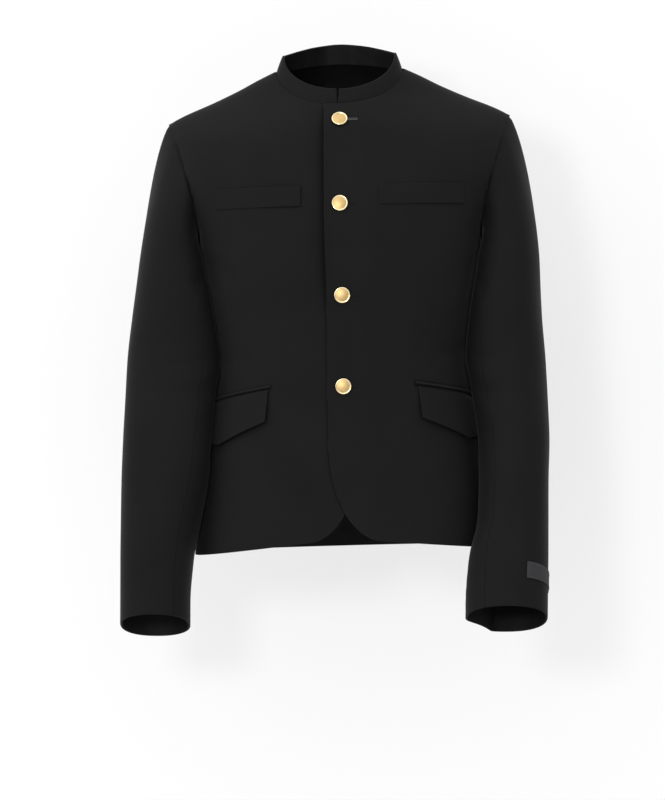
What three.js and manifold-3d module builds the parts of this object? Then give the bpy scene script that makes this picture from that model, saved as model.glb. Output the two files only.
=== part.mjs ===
// A tailored stand-collar jacket of black wool cloth, hollow, in the shape that it has when it is worn.
// Millimetres. +Z is up, the front faces -Y, and +X is the wearer's left.
// The origin lies midway between the two side neck points, where the shoulder seams meet the collar.
import * as THREE from "three";
import { mergeVertices } from "three/addons/utils/BufferGeometryUtils.js";
import Module from "manifold-3d";

const wasm = await Module();
wasm.setup();

// Cloth and seams
const CLOTH = 2.5; // fronts, back and sleeves: shell cloth, interlining and lining felt as one wall
const SEAM = 0.4; // clear distance between two sewn edges
const ON_CLOTH = 0.5; // clear distance under what is laid on a panel

// Body: heights are below the side neck point, widths are from the centre
const NECK_HALF = 82;
const FRONT_NECK_DROP = 51.5;
const BACK_NECK_RISE = 14.5;
const SHOULDER_HALF = 222;
const UNDERARM = -223.5;
const BODY_SQUARENESS = 2.7; // exponent of the horizontal sections, 2 would be an ellipse
const SHOULDER_ROLL = 105; // height over which the body rounds over into the shoulder seam
const BODY = [
  { z: 40, half: 232, front: 30, back: 120 },
  { z: 14, half: 232, front: 36, back: 114 },
  { z: 0, half: 232, front: 41, back: 108 },
  { z: -36.5, half: 232, front: 57, back: 102 },
  { z: -51.5, half: 232, front: 67, back: 104 },
  { z: -85, half: 231, front: 88, back: 112 },
  { z: -110, half: 224, front: 99, back: 118 },
  { z: -155, half: 209, front: 114, back: 126 },
  { z: -190, half: 194, front: 120.5, back: 129 },
  { z: -223.5, half: 183.5, front: 124, back: 130 },
  { z: -275, half: 175, front: 125, back: 127 },
  { z: -325, half: 167, front: 122, back: 120 },
  { z: -375, half: 161, front: 117, back: 112.5 },
  { z: -430, half: 168.5, front: 114, back: 109.5 },
  { z: -480, half: 176.5, front: 114, back: 112 },
  { z: -533, half: 184, front: 115.5, back: 117 },
  { z: -585, half: 191, front: 117.5, back: 121 },
  { z: -624, half: 195.5, front: 119, back: 124 },
];
const SHOULDER_LINE = [
  { x: 0, z: 29 },
  { x: 14, z: 29 },
  { x: 45, z: 19.5 },
  { x: 82, z: 0 },
  { x: 104, z: -10.5 },
  { x: 132, z: -25 },
  { x: 165, z: -40 },
  { x: 200, z: -54.5 },
  { x: 222, z: -65.5 },
];
const ARMHOLE = {
  front: [
    { x: 183.5, z: -223.5 },
    { x: 182.8, z: -219.5 },
    { x: 182, z: -210.5 },
    { x: 184.5, z: -190.5 },
    { x: 192.5, z: -153.5 },
    { x: 206, z: -110.5 },
    { x: 214.5, z: -83 },
    { x: 222, z: -65.5 },
  ],
  back: [
    { x: 183.5, z: -223.5 },
    { x: 183.1, z: -219.5 },
    { x: 183, z: -210.5 },
    { x: 185.5, z: -190.5 },
    { x: 190, z: -153.5 },
    { x: 202.5, z: -110.5 },
    { x: 213, z: -83 },
    { x: 222, z: -65.5 },
  ],
};

// Front edge and hem
const LAP = 20; // each front runs this far past the centre
const LAP_LIFT = CLOTH + 0.5; // the over front rides on the under front
const LAP_FLAT_TO = 22;
const LAP_FADE_TO = 70;
const HEM_CORNER = { across: 70, up: 124 }; // quarter ellipse of the cut-away front edge
const FRONT_HEM = -609.5;
const SIDE_HEM = { x: 195.5, z: -624 };

// The wearer stands with one shoulder a little lower and leans slightly to the side
const STANCE_DROP = 0.028;
const STANCE_LEAN = [
  { z: 40, x: -0.9 },
  { z: -72, x: -0.8 },
  { z: -181, x: -0.5 },
  { z: -297, x: 2.4 },
  { z: -412, x: 4 },
  { z: -576, x: 6.5 },
  { z: -624, x: 7.5 },
];

// Collar
const COLLAR = {
  wall: 3,
  inset: 0.996, // the lower edge stands this share of the neck edge's width
  topHalf: 73.5,
  topDepth: 0.9,
  front: 21.5,
  side: 20.5,
  back: 24,
};
const NOTCH = { x: -2.5, base: 0.3, top: 2.2, from: 0.35, midway: 0.7 };

// Sleeves: |x| of the outer and inner edge, middle and half of the depth, and the slope of each ring.
// The front of a ring is higher than its back.
const ARM_SQUARENESS = 2.3;
const ARMS = {
  right: {
    side: -1,
    rings: [
      { z: -255.5, outer: 260, inner: 166, middle: -6, depth: 72, slope: 8 },
      { z: -325.5, outer: 269, inner: 152, middle: -16, depth: 64, slope: 9 },
      { z: -377.5, outer: 274.5, inner: 147, middle: -24, depth: 54, slope: 10 },
      { z: -429.5, outer: 277, inner: 152, middle: -30, depth: 53, slope: 11 },
      { z: -481.5, outer: 279.5, inner: 158, middle: -36, depth: 53, slope: 12 },
      { z: -533.5, outer: 281, inner: 165, middle: -44, depth: 53, slope: 14 },
      { z: -585.5, outer: 281.5, inner: 177, middle: -50, depth: 52, slope: 16 },
      { z: -637.5, outer: 282, inner: 188, middle: -52, depth: 49, slope: 18 },
      { z: -689.5, outer: 282, inner: 192, middle: -54, depth: 47.5, slope: 20 },
      { z: -718.5, outer: 282, inner: 192, middle: -56, depth: 47, slope: 20 },
    ],
  },
  left: {
    side: 1,
    rings: [
      { z: -255.5, outer: 258.5, inner: 168, middle: -6, depth: 76, slope: 8 },
      { z: -325.5, outer: 261.5, inner: 158, middle: -14, depth: 72, slope: 9 },
      { z: -377.5, outer: 265.5, inner: 155, middle: -21, depth: 64, slope: 11 },
      { z: -429.5, outer: 268, inner: 163, middle: -28, depth: 61, slope: 13 },
      { z: -481.5, outer: 269.5, inner: 173, middle: -37, depth: 61, slope: 15 },
      { z: -533.5, outer: 267.5, inner: 176, middle: -51, depth: 59, slope: 18 },
      { z: -585.5, outer: 266.5, inner: 174, middle: -65, depth: 53, slope: 21 },
      { z: -637.5, outer: 265.5, inner: 162, middle: -79, depth: 49, slope: 24 },
      { z: -689.5, outer: 264, inner: 159, middle: -93, depth: 43, slope: 25 },
      { z: -707.5, outer: 263.5, inner: 159, middle: -98, depth: 42, slope: 25 },
    ],
  },
};
const FRONT_SEAM = 121; // degrees round the sleeve from its outer edge, forward
const BACK_SEAM = 260;
const SLEEVE_SEAM = 0.7; // degrees left open between the two sleeve pieces
const SLEEVE_SET_IN = 0.5; // clear distance from the armhole edge to the sleeve
const BICEPS_STEP = 5; // the cap runs on into the arm along this much of it
// How the cap leaves the armhole, over the shoulder and under the arm, and how strongly it curves
const CAP = {
  over: { out: 0.5, down: 0.87 },
  under: { out: 0.25, down: 0.97, lift: 0.6 },
  swell: 0.2,
  leave: 0.62,
  arrive: 0.98,
  clearFrom: 0.3, // shares of the way round to the underarm between which it keeps clear of the body
  clearTo: 0.7,
};
const SOFT_TOUCH = 8; // over this distance a sleeve eases on to the body's side
const CLEARANCE = [
  { z: -724, gap: 1.8 },
  { z: -515, gap: 1.8 },
  { z: -495, gap: 5 },
  { z: -405, gap: 5 },
  { z: -380, gap: 1.5 },
  { z: -300, gap: 1.2 },
  { z: -223.5, gap: 0.8 },
];

// Pockets, buttons and label
const WELT = { inner: 49.5, outer: 158, top: -157.5, bottom: -183.5, wall: 1.8, columns: 10, rows: 2 };
const FLAP = {
  x: 94.8,
  z: -413.5,
  length: 124,
  slope: 8.8,
  lean: 5,
  pointAt: 68,
  innerDepth: 41,
  pointDepth: 59,
  outerDepth: 44,
  wall: 2,
  liftBottom: 2.4, // the inner end of the lower edge hangs this far off the front
  liftCurve: 1.5,
  innerColumns: 6,
  outerColumns: 5,
  rows: 4,
};
const JET = { overrun: 3, height: 5, wall: 1.6, gap: 0.4, columns: 12 };
const BUTTON_HEIGHTS = [-73.5, -181.5, -297, -412];
const BUTTON_SEGMENTS = 18;
const BUTTON_RADIUS = 10.15;
const SHANK_RADIUS = 1.5;
// The face of a button from its back edge to its centre: radius, and height above the front
const BUTTON_FACE = [
  [9.25, 0.8],
  [BUTTON_RADIUS, 1.6],
  [BUTTON_RADIUS, 2.2],
  [9.55, 2.9],
  [8.95, 2.9],
  [8.35, 2.4],
  [5.1, 3.1],
  [0, 3.6],
];
const BUTTONHOLE = { eyelet: 2.3, slitFrom: -3, slitTo: 21, slit: 1.2, deep: 12, segments: 16 };
const LABEL = { from: -6, to: 67.5, low: 35, high: 55, wall: 0.6, columns: 8 }; // from and to in degrees
const WELD = 1e-4; // points closer than this are one

const { clamp, degToRad, lerp, smoothstep } = THREE.MathUtils;
const cloth = new THREE.MeshStandardMaterial({ color: 0x1f1f21, roughness: 0.9, metalness: 0 });
const gold = new THREE.MeshStandardMaterial({ color: 0xd6b15a, roughness: 0.35, metalness: 1 });
const woven = new THREE.MeshStandardMaterial({ color: 0x55565a, roughness: 0.8, metalness: 0 });

// One column of a table as a smooth curve through its rows that never overshoots them
function curve(rows, key, column) {
  const knots = [...rows].sort((a, b) => a[key] - b[key]);
  const at = knots.map((row) => row[key]);
  const value = knots.map((row) => row[column]);
  const last = knots.length - 1;
  const rise = (i) => (value[i + 1] - value[i]) / (at[i + 1] - at[i]);
  const tangent = value.map((_, i) => {
    if (i === 0 || i === last) return rise(Math.min(i, last - 1));
    const product = rise(i - 1) * rise(i);
    return product > 0 ? (2 * product) / (rise(i - 1) + rise(i)) : 0;
  });
  return (where) => {
    const place = clamp(where, at[0], at[last]);
    const found = at.findIndex((knot, i) => i < last && place <= at[i + 1]);
    const i = Math.max(found, 0);
    const span = at[i + 1] - at[i];
    const t = (place - at[i]) / span;
    return hermite(value[i], tangent[i] * span, value[i + 1], tangent[i + 1] * span, t);
  };
}

function hermite(from, leave, to, arrive, t) {
  const a = from * (2 * t ** 3 - 3 * t ** 2 + 1) + leave * (t ** 3 - 2 * t ** 2 + t);
  return a + to * (3 * t ** 2 - 2 * t ** 3) + arrive * (t ** 3 - t ** 2);
}

const halfWidth = curve(BODY, "z", "half");
const sectionDepth = { front: curve(BODY, "z", "front"), back: curve(BODY, "z", "back") };
const shoulderHeight = curve(SHOULDER_LINE, "x", "z");

// How far the body's outer face stands before (or behind) the plane of the side seams
function bodyDepth(face, x, z) {
  const across = Math.min(1, Math.abs(x) / halfWidth(z));
  const round = (1 - across ** BODY_SQUARENESS) ** (1 / BODY_SQUARENESS);
  const under = clamp((shoulderHeight(Math.abs(x)) - z) / SHOULDER_ROLL, 0, 1);
  return sectionDepth[face](z) * round * Math.sqrt(1 - (1 - under) ** 2);
}

function bodyPoint(face, x, z) {
  const depth = bodyDepth(face, x, z);
  return new THREE.Vector3(x, face === "front" ? -depth : depth, z);
}

// The armhole edge of a panel by its own length, from the underarm (0) to the shoulder tip (1)
function armholeEdge(face) {
  const points = ARMHOLE[face].map((row) => bodyPoint(face, row.x, row.z));
  let length = 0;
  const rows = points.map((point, i) => {
    length += i > 0 ? point.distanceTo(points[i - 1]) : 0;
    return { length, x: point.x, z: point.z };
  });
  const x = curve(rows, "length", "x");
  const z = curve(rows, "length", "z");
  return (share) => ({ x: x(share * length), z: z(share * length) });
}

function frontTop(x) {
  if (x >= NECK_HALF) return shoulderHeight(x);
  return -FRONT_NECK_DROP * Math.sqrt(1 - (Math.max(x, 0) / NECK_HALF) ** 2);
}

function backTop(x) {
  if (x >= NECK_HALF) return shoulderHeight(x);
  return BACK_NECK_RISE * (1 - (x / NECK_HALF) ** 2);
}

function frontHem(x) {
  const cornerEnd = HEM_CORNER.across - LAP;
  if (x > cornerEnd) return lerp(FRONT_HEM, SIDE_HEM.z, (x - cornerEnd) / (SIDE_HEM.x - cornerEnd));
  const across = (cornerEnd - x) / HEM_CORNER.across;
  return FRONT_HEM + HEM_CORNER.up * (1 - Math.sqrt(1 - across ** 2));
}

const PANELS = {
  front: { start: -LAP, top: frontTop, hem: frontHem, armhole: armholeEdge("front") },
  back: { start: 0, top: backTop, hem: () => SIDE_HEM.z, armhole: armholeEdge("back") },
};

// A point of a panel: share runs from the centre (0) to the side (1), and level runs from the hem (-1)
// over the underarm (0) to the neck and shoulder (1)
function panelPoint(face, share, level) {
  const panel = PANELS[face];
  if (level < 0) {
    const z = lerp(panel.hem(lerp(panel.start, SIDE_HEM.x, share)), UNDERARM, level + 1);
    return bodyPoint(face, lerp(panel.start, halfWidth(z), share), z);
  }
  const edge = panel.armhole(level);
  const tip = shoulderHeight(SHOULDER_HALF);
  const rise = lerp(level, (edge.z - UNDERARM) / (tip - UNDERARM), share ** 2);
  const z = lerp(UNDERARM, panel.top(lerp(panel.start, SHOULDER_HALF, share)), rise);
  return bodyPoint(face, lerp(panel.start, edge.x, share), z);
}

const leanAt = curve(STANCE_LEAN, "z", "x");

// Places a body point in the standing pose
function stand(side, point) {
  const x = side * point.x;
  return new THREE.Vector3(x + leanAt(point.z), point.y, point.z + STANCE_DROP * x);
}

// The unit normal of a surface, with u to the right and v up as seen from outside.
// goesOn says that the surface runs on past its side edges.
const NORMAL_STEP = 0.0005;

function normalAt(surface, u, v, goesOn) {
  const step = NORMAL_STEP;
  const [left, right] = goesOn ? [u - step, u + step] : [Math.max(u - step, 0), Math.min(u + step, 1)];
  const [low, high] = [Math.max(v - step, 0), Math.min(v + step, 1)];
  const across = surface(right, v).sub(surface(left, v));
  const up = surface(u, high).sub(surface(u, low));
  return across.cross(up).normalize();
}

// A closed wall of cloth: a grid of outer points, the same grid moved in by the wall, and the rims between.
// raise is how far the outer face stands above the surface, and place puts each point where it belongs.
function wallGeometry({ surface, columns, rows, wall, raise = () => 0, place, goesOn = false }) {
  const outer = [];
  const inner = [];
  for (const v of rows) {
    for (const u of columns) {
      const point = surface(u, v);
      const normal = normalAt(surface, u, v, goesOn);
      const lift = raise(point, u, v);
      outer.push(place(point.clone().addScaledVector(normal, lift), u, v, false));
      inner.push(place(point.clone().addScaledVector(normal, lift - wall), u, v, true));
    }
  }
  const wide = columns.length;
  const tall = rows.length;
  const half = outer.length;
  const index = [];
  const quad = (a, b, c, d) => index.push(a, b, c, a, c, d);
  for (let j = 0; j < tall - 1; j++) {
    for (let i = 0; i < wide - 1; i++) {
      const a = j * wide + i;
      quad(a, a + 1, a + wide + 1, a + wide);
      quad(half + a + wide, half + a + wide + 1, half + a + 1, half + a);
    }
  }
  for (let i = 0; i < wide - 1; i++) {
    const top = (tall - 1) * wide + i;
    quad(i, half + i, half + i + 1, i + 1);
    quad(top, top + 1, half + top + 1, half + top);
  }
  for (let j = 0; j < tall - 1; j++) {
    const left = j * wide;
    const right = left + wide - 1;
    quad(left, left + wide, half + left + wide, half + left);
    quad(right, half + right, half + right + wide, right + wide);
  }
  const geometry = new THREE.BufferGeometry();
  geometry.setFromPoints([...outer, ...inner]);
  geometry.setIndex(volumeOf(outer.concat(inner), index) < 0 ? index.reverse() : index);
  geometry.computeVertexNormals();
  return geometry;
}

function volumeOf(points, index) {
  let volume = 0;
  for (let i = 0; i < index.length; i += 3) {
    const [a, b, c] = [points[index[i]], points[index[i + 1]], points[index[i + 2]]];
    volume += a.dot(new THREE.Vector3().crossVectors(b, c)) / 6;
  }
  return volume;
}

function piece(name, geometry, material) {
  const mesh = new THREE.Mesh(geometry, material);
  mesh.name = name;
  return mesh;
}

const evenly = (from, to, count) => Array.from({ length: count + 1 }, (_, i) => lerp(from, to, i / count));

// Rows of the body panels: even below the underarm, closer together towards the shoulder seam
const LOWER_ROWS = 14;
const UPPER_ROWS = 10;
const LEVELS = [
  ...evenly(-1, 0, LOWER_ROWS).slice(0, -1),
  ...evenly(0, 90, UPPER_ROWS).map((angle) => Math.sin(degToRad(angle))),
];
const toLevel = (v) => v * 2 - 1;
const PANEL_ROWS = LEVELS.map((level) => (level + 1) / 2);

// Columns of the body panels: on the neck edge they share their angles with the collar
const SIDE_STEPS = 7;
const FRONT_NECK_STEPS = 8;
const BACK_NECK_STEPS = 4;
const HEM_CORNER_ANGLES = [0, 15, 30];
const neckAngles = {
  front: evenly(0, 90, FRONT_NECK_STEPS).map(degToRad),
  back: evenly(0, 90, BACK_NECK_STEPS).map(degToRad),
};

function panelShares(face) {
  const { start } = PANELS[face];
  const span = SHOULDER_HALF - start;
  const neck = neckAngles[face].map((angle) => (NECK_HALF * Math.sin(angle) - start) / span);
  const last = neck[neck.length - 1];
  const side = evenly(0, 90, SIDE_STEPS).slice(1);
  return [...neck, ...side.map((angle) => last + (1 - last) * Math.sin(degToRad(angle)))];
}

// Keeps a front before the plane of the side and shoulder seams, and the back behind it
const keepBefore = (point) => point.setY(Math.min(point.y, -SEAM / 2));
const keepBehind = (point) => point.setY(Math.max(point.y, SEAM / 2));

const lapLift = (side, x) => (side > 0 ? LAP_LIFT * (1 - smoothstep(x, LAP_FLAT_TO, LAP_FADE_TO)) : 0);

function frontPanel(side) {
  const cornerShares = HEM_CORNER_ANGLES.map((angle) => {
    const across = HEM_CORNER.across * (1 - Math.cos(degToRad(angle)));
    return across / (SIDE_HEM.x + LAP);
  });
  return wallGeometry({
    surface: (u, v) => panelPoint("front", u, toLevel(v)),
    columns: [...cornerShares, ...panelShares("front")],
    rows: PANEL_ROWS,
    wall: CLOTH,
    raise: (point) => lapLift(side, point.x),
    place: (point) => stand(side, keepBefore(point)),
  });
}

function backPanel() {
  const shares = panelShares("back").slice(1);
  const [right, left] = [shares.map((share) => (1 - share) / 2), shares.map((share) => (1 + share) / 2)];
  const columns = [...right.reverse(), 0.5, ...left];
  const surface = (u, v) => {
    const share = 1 - 2 * u;
    const point = panelPoint("back", Math.abs(share), toLevel(v));
    return point.setX(share < 0 ? -point.x : point.x);
  };
  const place = (point) => stand(1, keepBehind(point));
  return wallGeometry({ surface, columns, rows: PANEL_ROWS, wall: CLOTH, place });
}

// Collar: a band on the neck edge, round the neck from the centre front over the back and round again
function neckPoint(angle) {
  const x = NECK_HALF * Math.sin(angle);
  const ahead = Math.cos(angle) > 0;
  const edge = ahead ? -FRONT_NECK_DROP * Math.cos(angle) : BACK_NECK_RISE * Math.cos(angle) ** 2;
  const point = bodyPoint(ahead ? "front" : "back", Math.abs(x), edge);
  return point.setX(x);
}

function collarBand() {
  const rise = (angle) => {
    const turn = Math.cos(angle);
    return lerp(COLLAR.side, turn > 0 ? COLLAR.front : COLLAR.back, turn ** 2);
  };
  const first = neckAngles.front[1] / (2 * Math.PI);
  const surface = (u, v) => {
    const gap = lerp(NOTCH.base, NOTCH.top, clamp((v - NOTCH.from) / (1 - NOTCH.from), 0, 1));
    const start = Math.asin((NOTCH.x + gap) / NECK_HALF) * Math.max(0, 1 - u / first);
    const end = Math.asin((NOTCH.x - gap) / NECK_HALF) * Math.max(0, 1 - (1 - u) / first);
    const angle = 2 * Math.PI * u + start + end;
    const base = neckPoint(angle);
    const x = lerp(COLLAR.inset, COLLAR.topHalf / NECK_HALF, v) * base.x;
    const y = lerp(COLLAR.inset, COLLAR.topDepth, v) * base.y;
    return new THREE.Vector3(x, y, base.z + SEAM + v * rise(angle));
  };
  const turns = (angles) => angles.map((angle) => angle / (2 * Math.PI));
  const overBack = turns(neckAngles.back).map((turn) => 0.5 - turn);
  const half = [...turns(neckAngles.front), ...overBack.reverse().slice(1)];
  const columns = [...half, ...half.map((turn) => 1 - turn).reverse().slice(1)];
  const place = (point) => stand(1, point);
  return wallGeometry({ surface, columns, rows: [0, NOTCH.from, NOTCH.midway, 1], wall: COLLAR.wall, place });
}

// Sleeve points are worked out with x pointing outward from the body on both sides: this turns a point
// of the arm's own side into such a point, and back
const swapSide = (arm, point) => point.setX(arm.side * point.x);

// The armhole at an angle round the sleeve: its point, its outward normal, and the way out past its edge
const LOOP_STEP = 0.002;

function armLoop(arm, angle) {
  const turn = ((angle % 360) + 360) % 360;
  const face = turn <= 180 ? "front" : "back";
  const share = turn <= 180 ? 1 - turn / 180 : turn / 180 - 1;
  const row = LEVELS.filter((level) => level >= 0 && level <= share).length - 1;
  const rows = LEVELS.filter((level) => level >= 0);
  const next = Math.min(row + 1, rows.length - 1);
  const edgePoint = (level) => swapSide(arm, stand(arm.side, panelPoint(face, 1, level)));
  const low = edgePoint(rows[row]);
  const high = edgePoint(rows[next]);
  const part = next > row ? (share - rows[row]) / (rows[next] - rows[row]) : 0;
  const point = low.clone().lerp(high, part);
  const level = clamp(share, LOOP_STEP, 1 - LOOP_STEP);
  const up = edgePoint(level + LOOP_STEP).sub(edgePoint(level - LOOP_STEP)).normalize();
  const inside = swapSide(arm, stand(arm.side, panelPoint(face, 1 - LOOP_STEP, level)));
  const across = edgePoint(level).sub(inside);
  const hand = face === "front" ? 1 : -1;
  const normal = across.clone().cross(up).multiplyScalar(hand).normalize();
  const away = up.clone().cross(normal).multiplyScalar(hand).normalize();
  return { point, normal, away };
}

const clearance = curve(CLEARANCE, "z", "gap");

function ringCurves(arm) {
  const columns = ["outer", "inner", "middle", "depth", "slope"];
  return Object.fromEntries(columns.map((column) => [column, curve(arm.rings, "z", column)]));
}

// Moves a sleeve point out until it is clear of the body's side
function keepClear(arm, point, weight) {
  const level = point.z - STANCE_DROP * arm.side * halfWidth(point.z);
  const face = point.y < 0 ? "front" : "back";
  const forward = Math.min(1, Math.abs(point.y) / sectionDepth[face](level));
  const reach = halfWidth(level) * (1 - forward ** BODY_SQUARENESS) ** (1 / BODY_SQUARENESS);
  const least = reach + arm.side * leanAt(level) + clearance(level);
  const apart = clamp(point.x - least, -SOFT_TOUCH, SOFT_TOUCH);
  const clear = Math.max(point.x, least) + (SOFT_TOUCH - Math.abs(apart)) ** 2 / (4 * SOFT_TOUCH);
  return point.setX(lerp(point.x, clear, weight));
}

function ringPoint(arm, angle, z) {
  const ring = arm.curves;
  const power = 2 / ARM_SQUARENESS;
  const cosine = Math.cos(degToRad(angle));
  const sine = Math.sin(degToRad(angle));
  const outward = Math.sign(cosine) * Math.abs(cosine) ** power;
  const forward = Math.sign(sine) * Math.abs(sine) ** power;
  const width = (ring.outer(z) - ring.inner(z)) / 2;
  const x = (ring.outer(z) + ring.inner(z)) / 2 + width * outward;
  const ahead = ring.depth(z) * forward;
  return new THREE.Vector3(x, ring.middle(z) - ahead, z + Math.tan(degToRad(ring.slope(z))) * ahead);
}

// The sleeve's outer face: travel 0 is the armhole, 1 is the biceps ring and 2 is the cuff
function sleevePoint(arm, angle, travel) {
  const top = arm.rings[0].z;
  const cuff = arm.rings[arm.rings.length - 1].z;
  const under = (1 - Math.cos(degToRad(angle))) / 2;
  if (travel >= 1) {
    return keepClear(arm, ringPoint(arm, angle, lerp(top, cuff, travel - 1)), 1);
  }
  const loop = armLoop(arm, angle);
  const from = loop.point.addScaledVector(loop.away, SLEEVE_SET_IN);
  from.addScaledVector(loop.normal, CAP.under.lift * under);
  const to = ringPoint(arm, angle, top);
  const chord = from.distanceTo(to);
  const swell = CAP.swell * Math.sin(degToRad(angle));
  const out = lerp(CAP.over.out, CAP.under.out, under);
  const down = lerp(CAP.over.down, CAP.under.down, under);
  const leave = new THREE.Vector3(out, -swell, -down).normalize().multiplyScalar(CAP.leave * chord);
  const below = ringPoint(arm, angle, top - BICEPS_STEP);
  const arrive = below.sub(to).normalize().multiplyScalar(CAP.arrive * chord);
  const along = (axis) => hermite(from[axis], leave[axis], to[axis], arrive[axis], travel);
  const point = new THREE.Vector3(along("x"), along("y"), along("z"));
  const weight = smoothstep(travel, 0, 0.5) * smoothstep(under, CAP.clearFrom, CAP.clearTo);
  return keepClear(arm, point, weight);
}

const CAP_ROWS = 7;
const ARM_ROWS = 12;
const TOP_COLUMNS = 13;
const UNDER_COLUMNS = 9;
const SLEEVE_ROWS = [...evenly(0, 1, CAP_ROWS).slice(0, -1), ...evenly(1, 2, ARM_ROWS)];

function sleevePiece(arm, from, to, count) {
  const angleAt = (u) => lerp(from + SLEEVE_SEAM / 2, to - SLEEVE_SEAM / 2, u);
  // The inner corner of the set-in edge stays as far from the armhole as the outer one
  const place = (point, u, v, isInner) => {
    if (v === 0 && isInner) {
      const loop = armLoop(arm, angleAt(u));
      const apart = point.clone().sub(loop.point).dot(loop.away);
      point.addScaledVector(loop.away, Math.max(0, SLEEVE_SET_IN - apart));
    }
    return swapSide(arm, point);
  };
  return wallGeometry({
    surface: (u, v) => sleevePoint(arm, angleAt(u), v * 2),
    columns: evenly(0, 1, count),
    rows: SLEEVE_ROWS.map((travel) => travel / 2),
    wall: CLOTH,
    place,
    goesOn: true,
  });
}

// Pockets: patches on the fronts, made from the body's own points
function frontPatch({ columns, rows, at, wall, lift, side }) {
  return wallGeometry({
    surface: at,
    columns,
    rows,
    wall,
    raise: (point, u, v) => lapLift(side, point.x) + ON_CLOTH + wall + lift(u, v),
    place: (point) => stand(side, point),
  });
}

function chestWelt(side) {
  const { inner, outer, top, bottom, wall } = WELT;
  const at = (u, v) => bodyPoint("front", lerp(inner, outer, u), lerp(bottom, top, v));
  const [columns, rows] = [evenly(0, 1, WELT.columns), evenly(0, 1, WELT.rows)];
  return frontPatch({ columns, rows, at, wall, lift: () => 0, side });
}

// The x of the point that lies a distance further round the body's horizontal section
const ROUND_STEP = degToRad(0.25);

function roundBody(x, z, distance) {
  const half = halfWidth(z);
  const depth = sectionDepth.front(z);
  const power = 2 / BODY_SQUARENESS;
  const at = (angle) => [half * Math.sin(angle) ** power, depth * Math.cos(angle) ** power];
  const step = ROUND_STEP * Math.sign(distance || 1);
  let angle = Math.asin((x / half) ** (1 / power));
  let left = Math.abs(distance);
  let here = at(angle);
  while (left > 0) {
    const there = at(clamp(angle + step, 0, Math.PI / 2));
    const length = Math.hypot(there[0] - here[0], there[1] - here[1]);
    if (length === 0) return here[0];
    if (length >= left) return lerp(here[0], there[0], left / length);
    left -= length;
    angle += step;
    here = there;
  }
  return here[0];
}

// A point of the pocket: along the slanted opening, and down from it
function pocketPoint(along, down) {
  const slope = degToRad(FLAP.slope);
  const lean = degToRad(FLAP.lean);
  const distance = along * Math.cos(slope) + down * Math.sin(lean);
  const z = FLAP.z - along * Math.sin(slope) - down * Math.cos(lean);
  return bodyPoint("front", roundBody(FLAP.x, z, distance), z);
}

function flapDepth(along) {
  const { pointAt, length, innerDepth, pointDepth, outerDepth } = FLAP;
  if (along < pointAt) return lerp(innerDepth, pointDepth, along / pointAt);
  return lerp(pointDepth, outerDepth, (along - pointAt) / (length - pointAt));
}

function pocketFlap(side) {
  const at = (u, v) => pocketPoint(u * FLAP.length, (1 - v) * flapDepth(u * FLAP.length));
  const pointShare = FLAP.pointAt / FLAP.length;
  const innerPart = evenly(0, pointShare, FLAP.innerColumns);
  const columns = [...innerPart, ...evenly(pointShare, 1, FLAP.outerColumns).slice(1)];
  const lift = (u, v) => FLAP.liftBottom * (1 - v) ** FLAP.liftCurve * (1 - u ** 2);
  return frontPatch({ columns, rows: evenly(0, 1, FLAP.rows), at, wall: FLAP.wall, lift, side });
}

function pocketJet(side) {
  const { overrun, height, gap, wall } = JET;
  const along = (u) => lerp(-overrun, FLAP.length + overrun, u);
  const at = (u, v) => pocketPoint(along(u), lerp(-gap, -gap - height, v));
  return frontPatch({ columns: evenly(0, 1, JET.columns), rows: [0, 1], at, wall, lift: () => 0, side });
}

// Buttons stand on the over front at the centre line
function buttonSeat(z) {
  const step = 1;
  const base = bodyPoint("front", 0, z);
  const across = bodyPoint("front", step, z).sub(bodyPoint("front", -step, z));
  const up = bodyPoint("front", 0, z + step).sub(bodyPoint("front", 0, z - step));
  const normal = across.cross(up).normalize();
  const foot = stand(1, base.clone().addScaledVector(normal, LAP_LIFT));
  const out = stand(1, base.addScaledVector(normal, LAP_LIFT + 1)).sub(foot).normalize();
  const right = new THREE.Vector3(1, 0, 0).addScaledVector(out, -out.x).normalize();
  const basis = new THREE.Matrix4().makeBasis(right, out, right.clone().cross(out));
  return basis.setPosition(foot);
}

function buttonGeometry() {
  const shank = [[0, -CLOTH], [SHANK_RADIUS, -CLOTH], [SHANK_RADIUS, BUTTON_FACE[0][1]]];
  const points = [...shank, ...BUTTON_FACE].map(([across, up]) => new THREE.Vector2(across, up));
  return withoutSlivers(welded(new THREE.LatheGeometry(points, BUTTON_SEGMENTS)));
}

// The same surface with shared corners instead of one set for each triangle
function welded(geometry) {
  const bare = geometry.clone();
  bare.deleteAttribute("normal");
  bare.deleteAttribute("uv");
  return mergeVertices(bare, WELD);
}

// Drops the triangles that have two corners in one place, as at the axis of a turned form
function withoutSlivers(geometry) {
  const index = Array.from(geometry.index.array);
  const kept = [];
  for (let i = 0; i < index.length; i += 3) {
    const [a, b, c] = index.slice(i, i + 3);
    if (a !== b && b !== c && a !== c) kept.push(a, b, c);
  }
  geometry.setIndex(kept);
  geometry.computeVertexNormals();
  return geometry;
}

function toSolid(geometry) {
  const merged = welded(geometry);
  const vertProperties = new Float32Array(merged.attributes.position.array);
  const triVerts = new Uint32Array(merged.index.array);
  return new wasm.Manifold(new wasm.Mesh({ numProp: 3, vertProperties, triVerts }));
}

function fromSolid(solid) {
  const mesh = solid.getMesh();
  const geometry = new THREE.BufferGeometry();
  geometry.setAttribute("position", new THREE.BufferAttribute(new Float32Array(mesh.vertProperties), 3));
  geometry.setIndex(new THREE.BufferAttribute(new Uint32Array(mesh.triVerts), 1));
  geometry.computeVertexNormals();
  return geometry;
}

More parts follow.
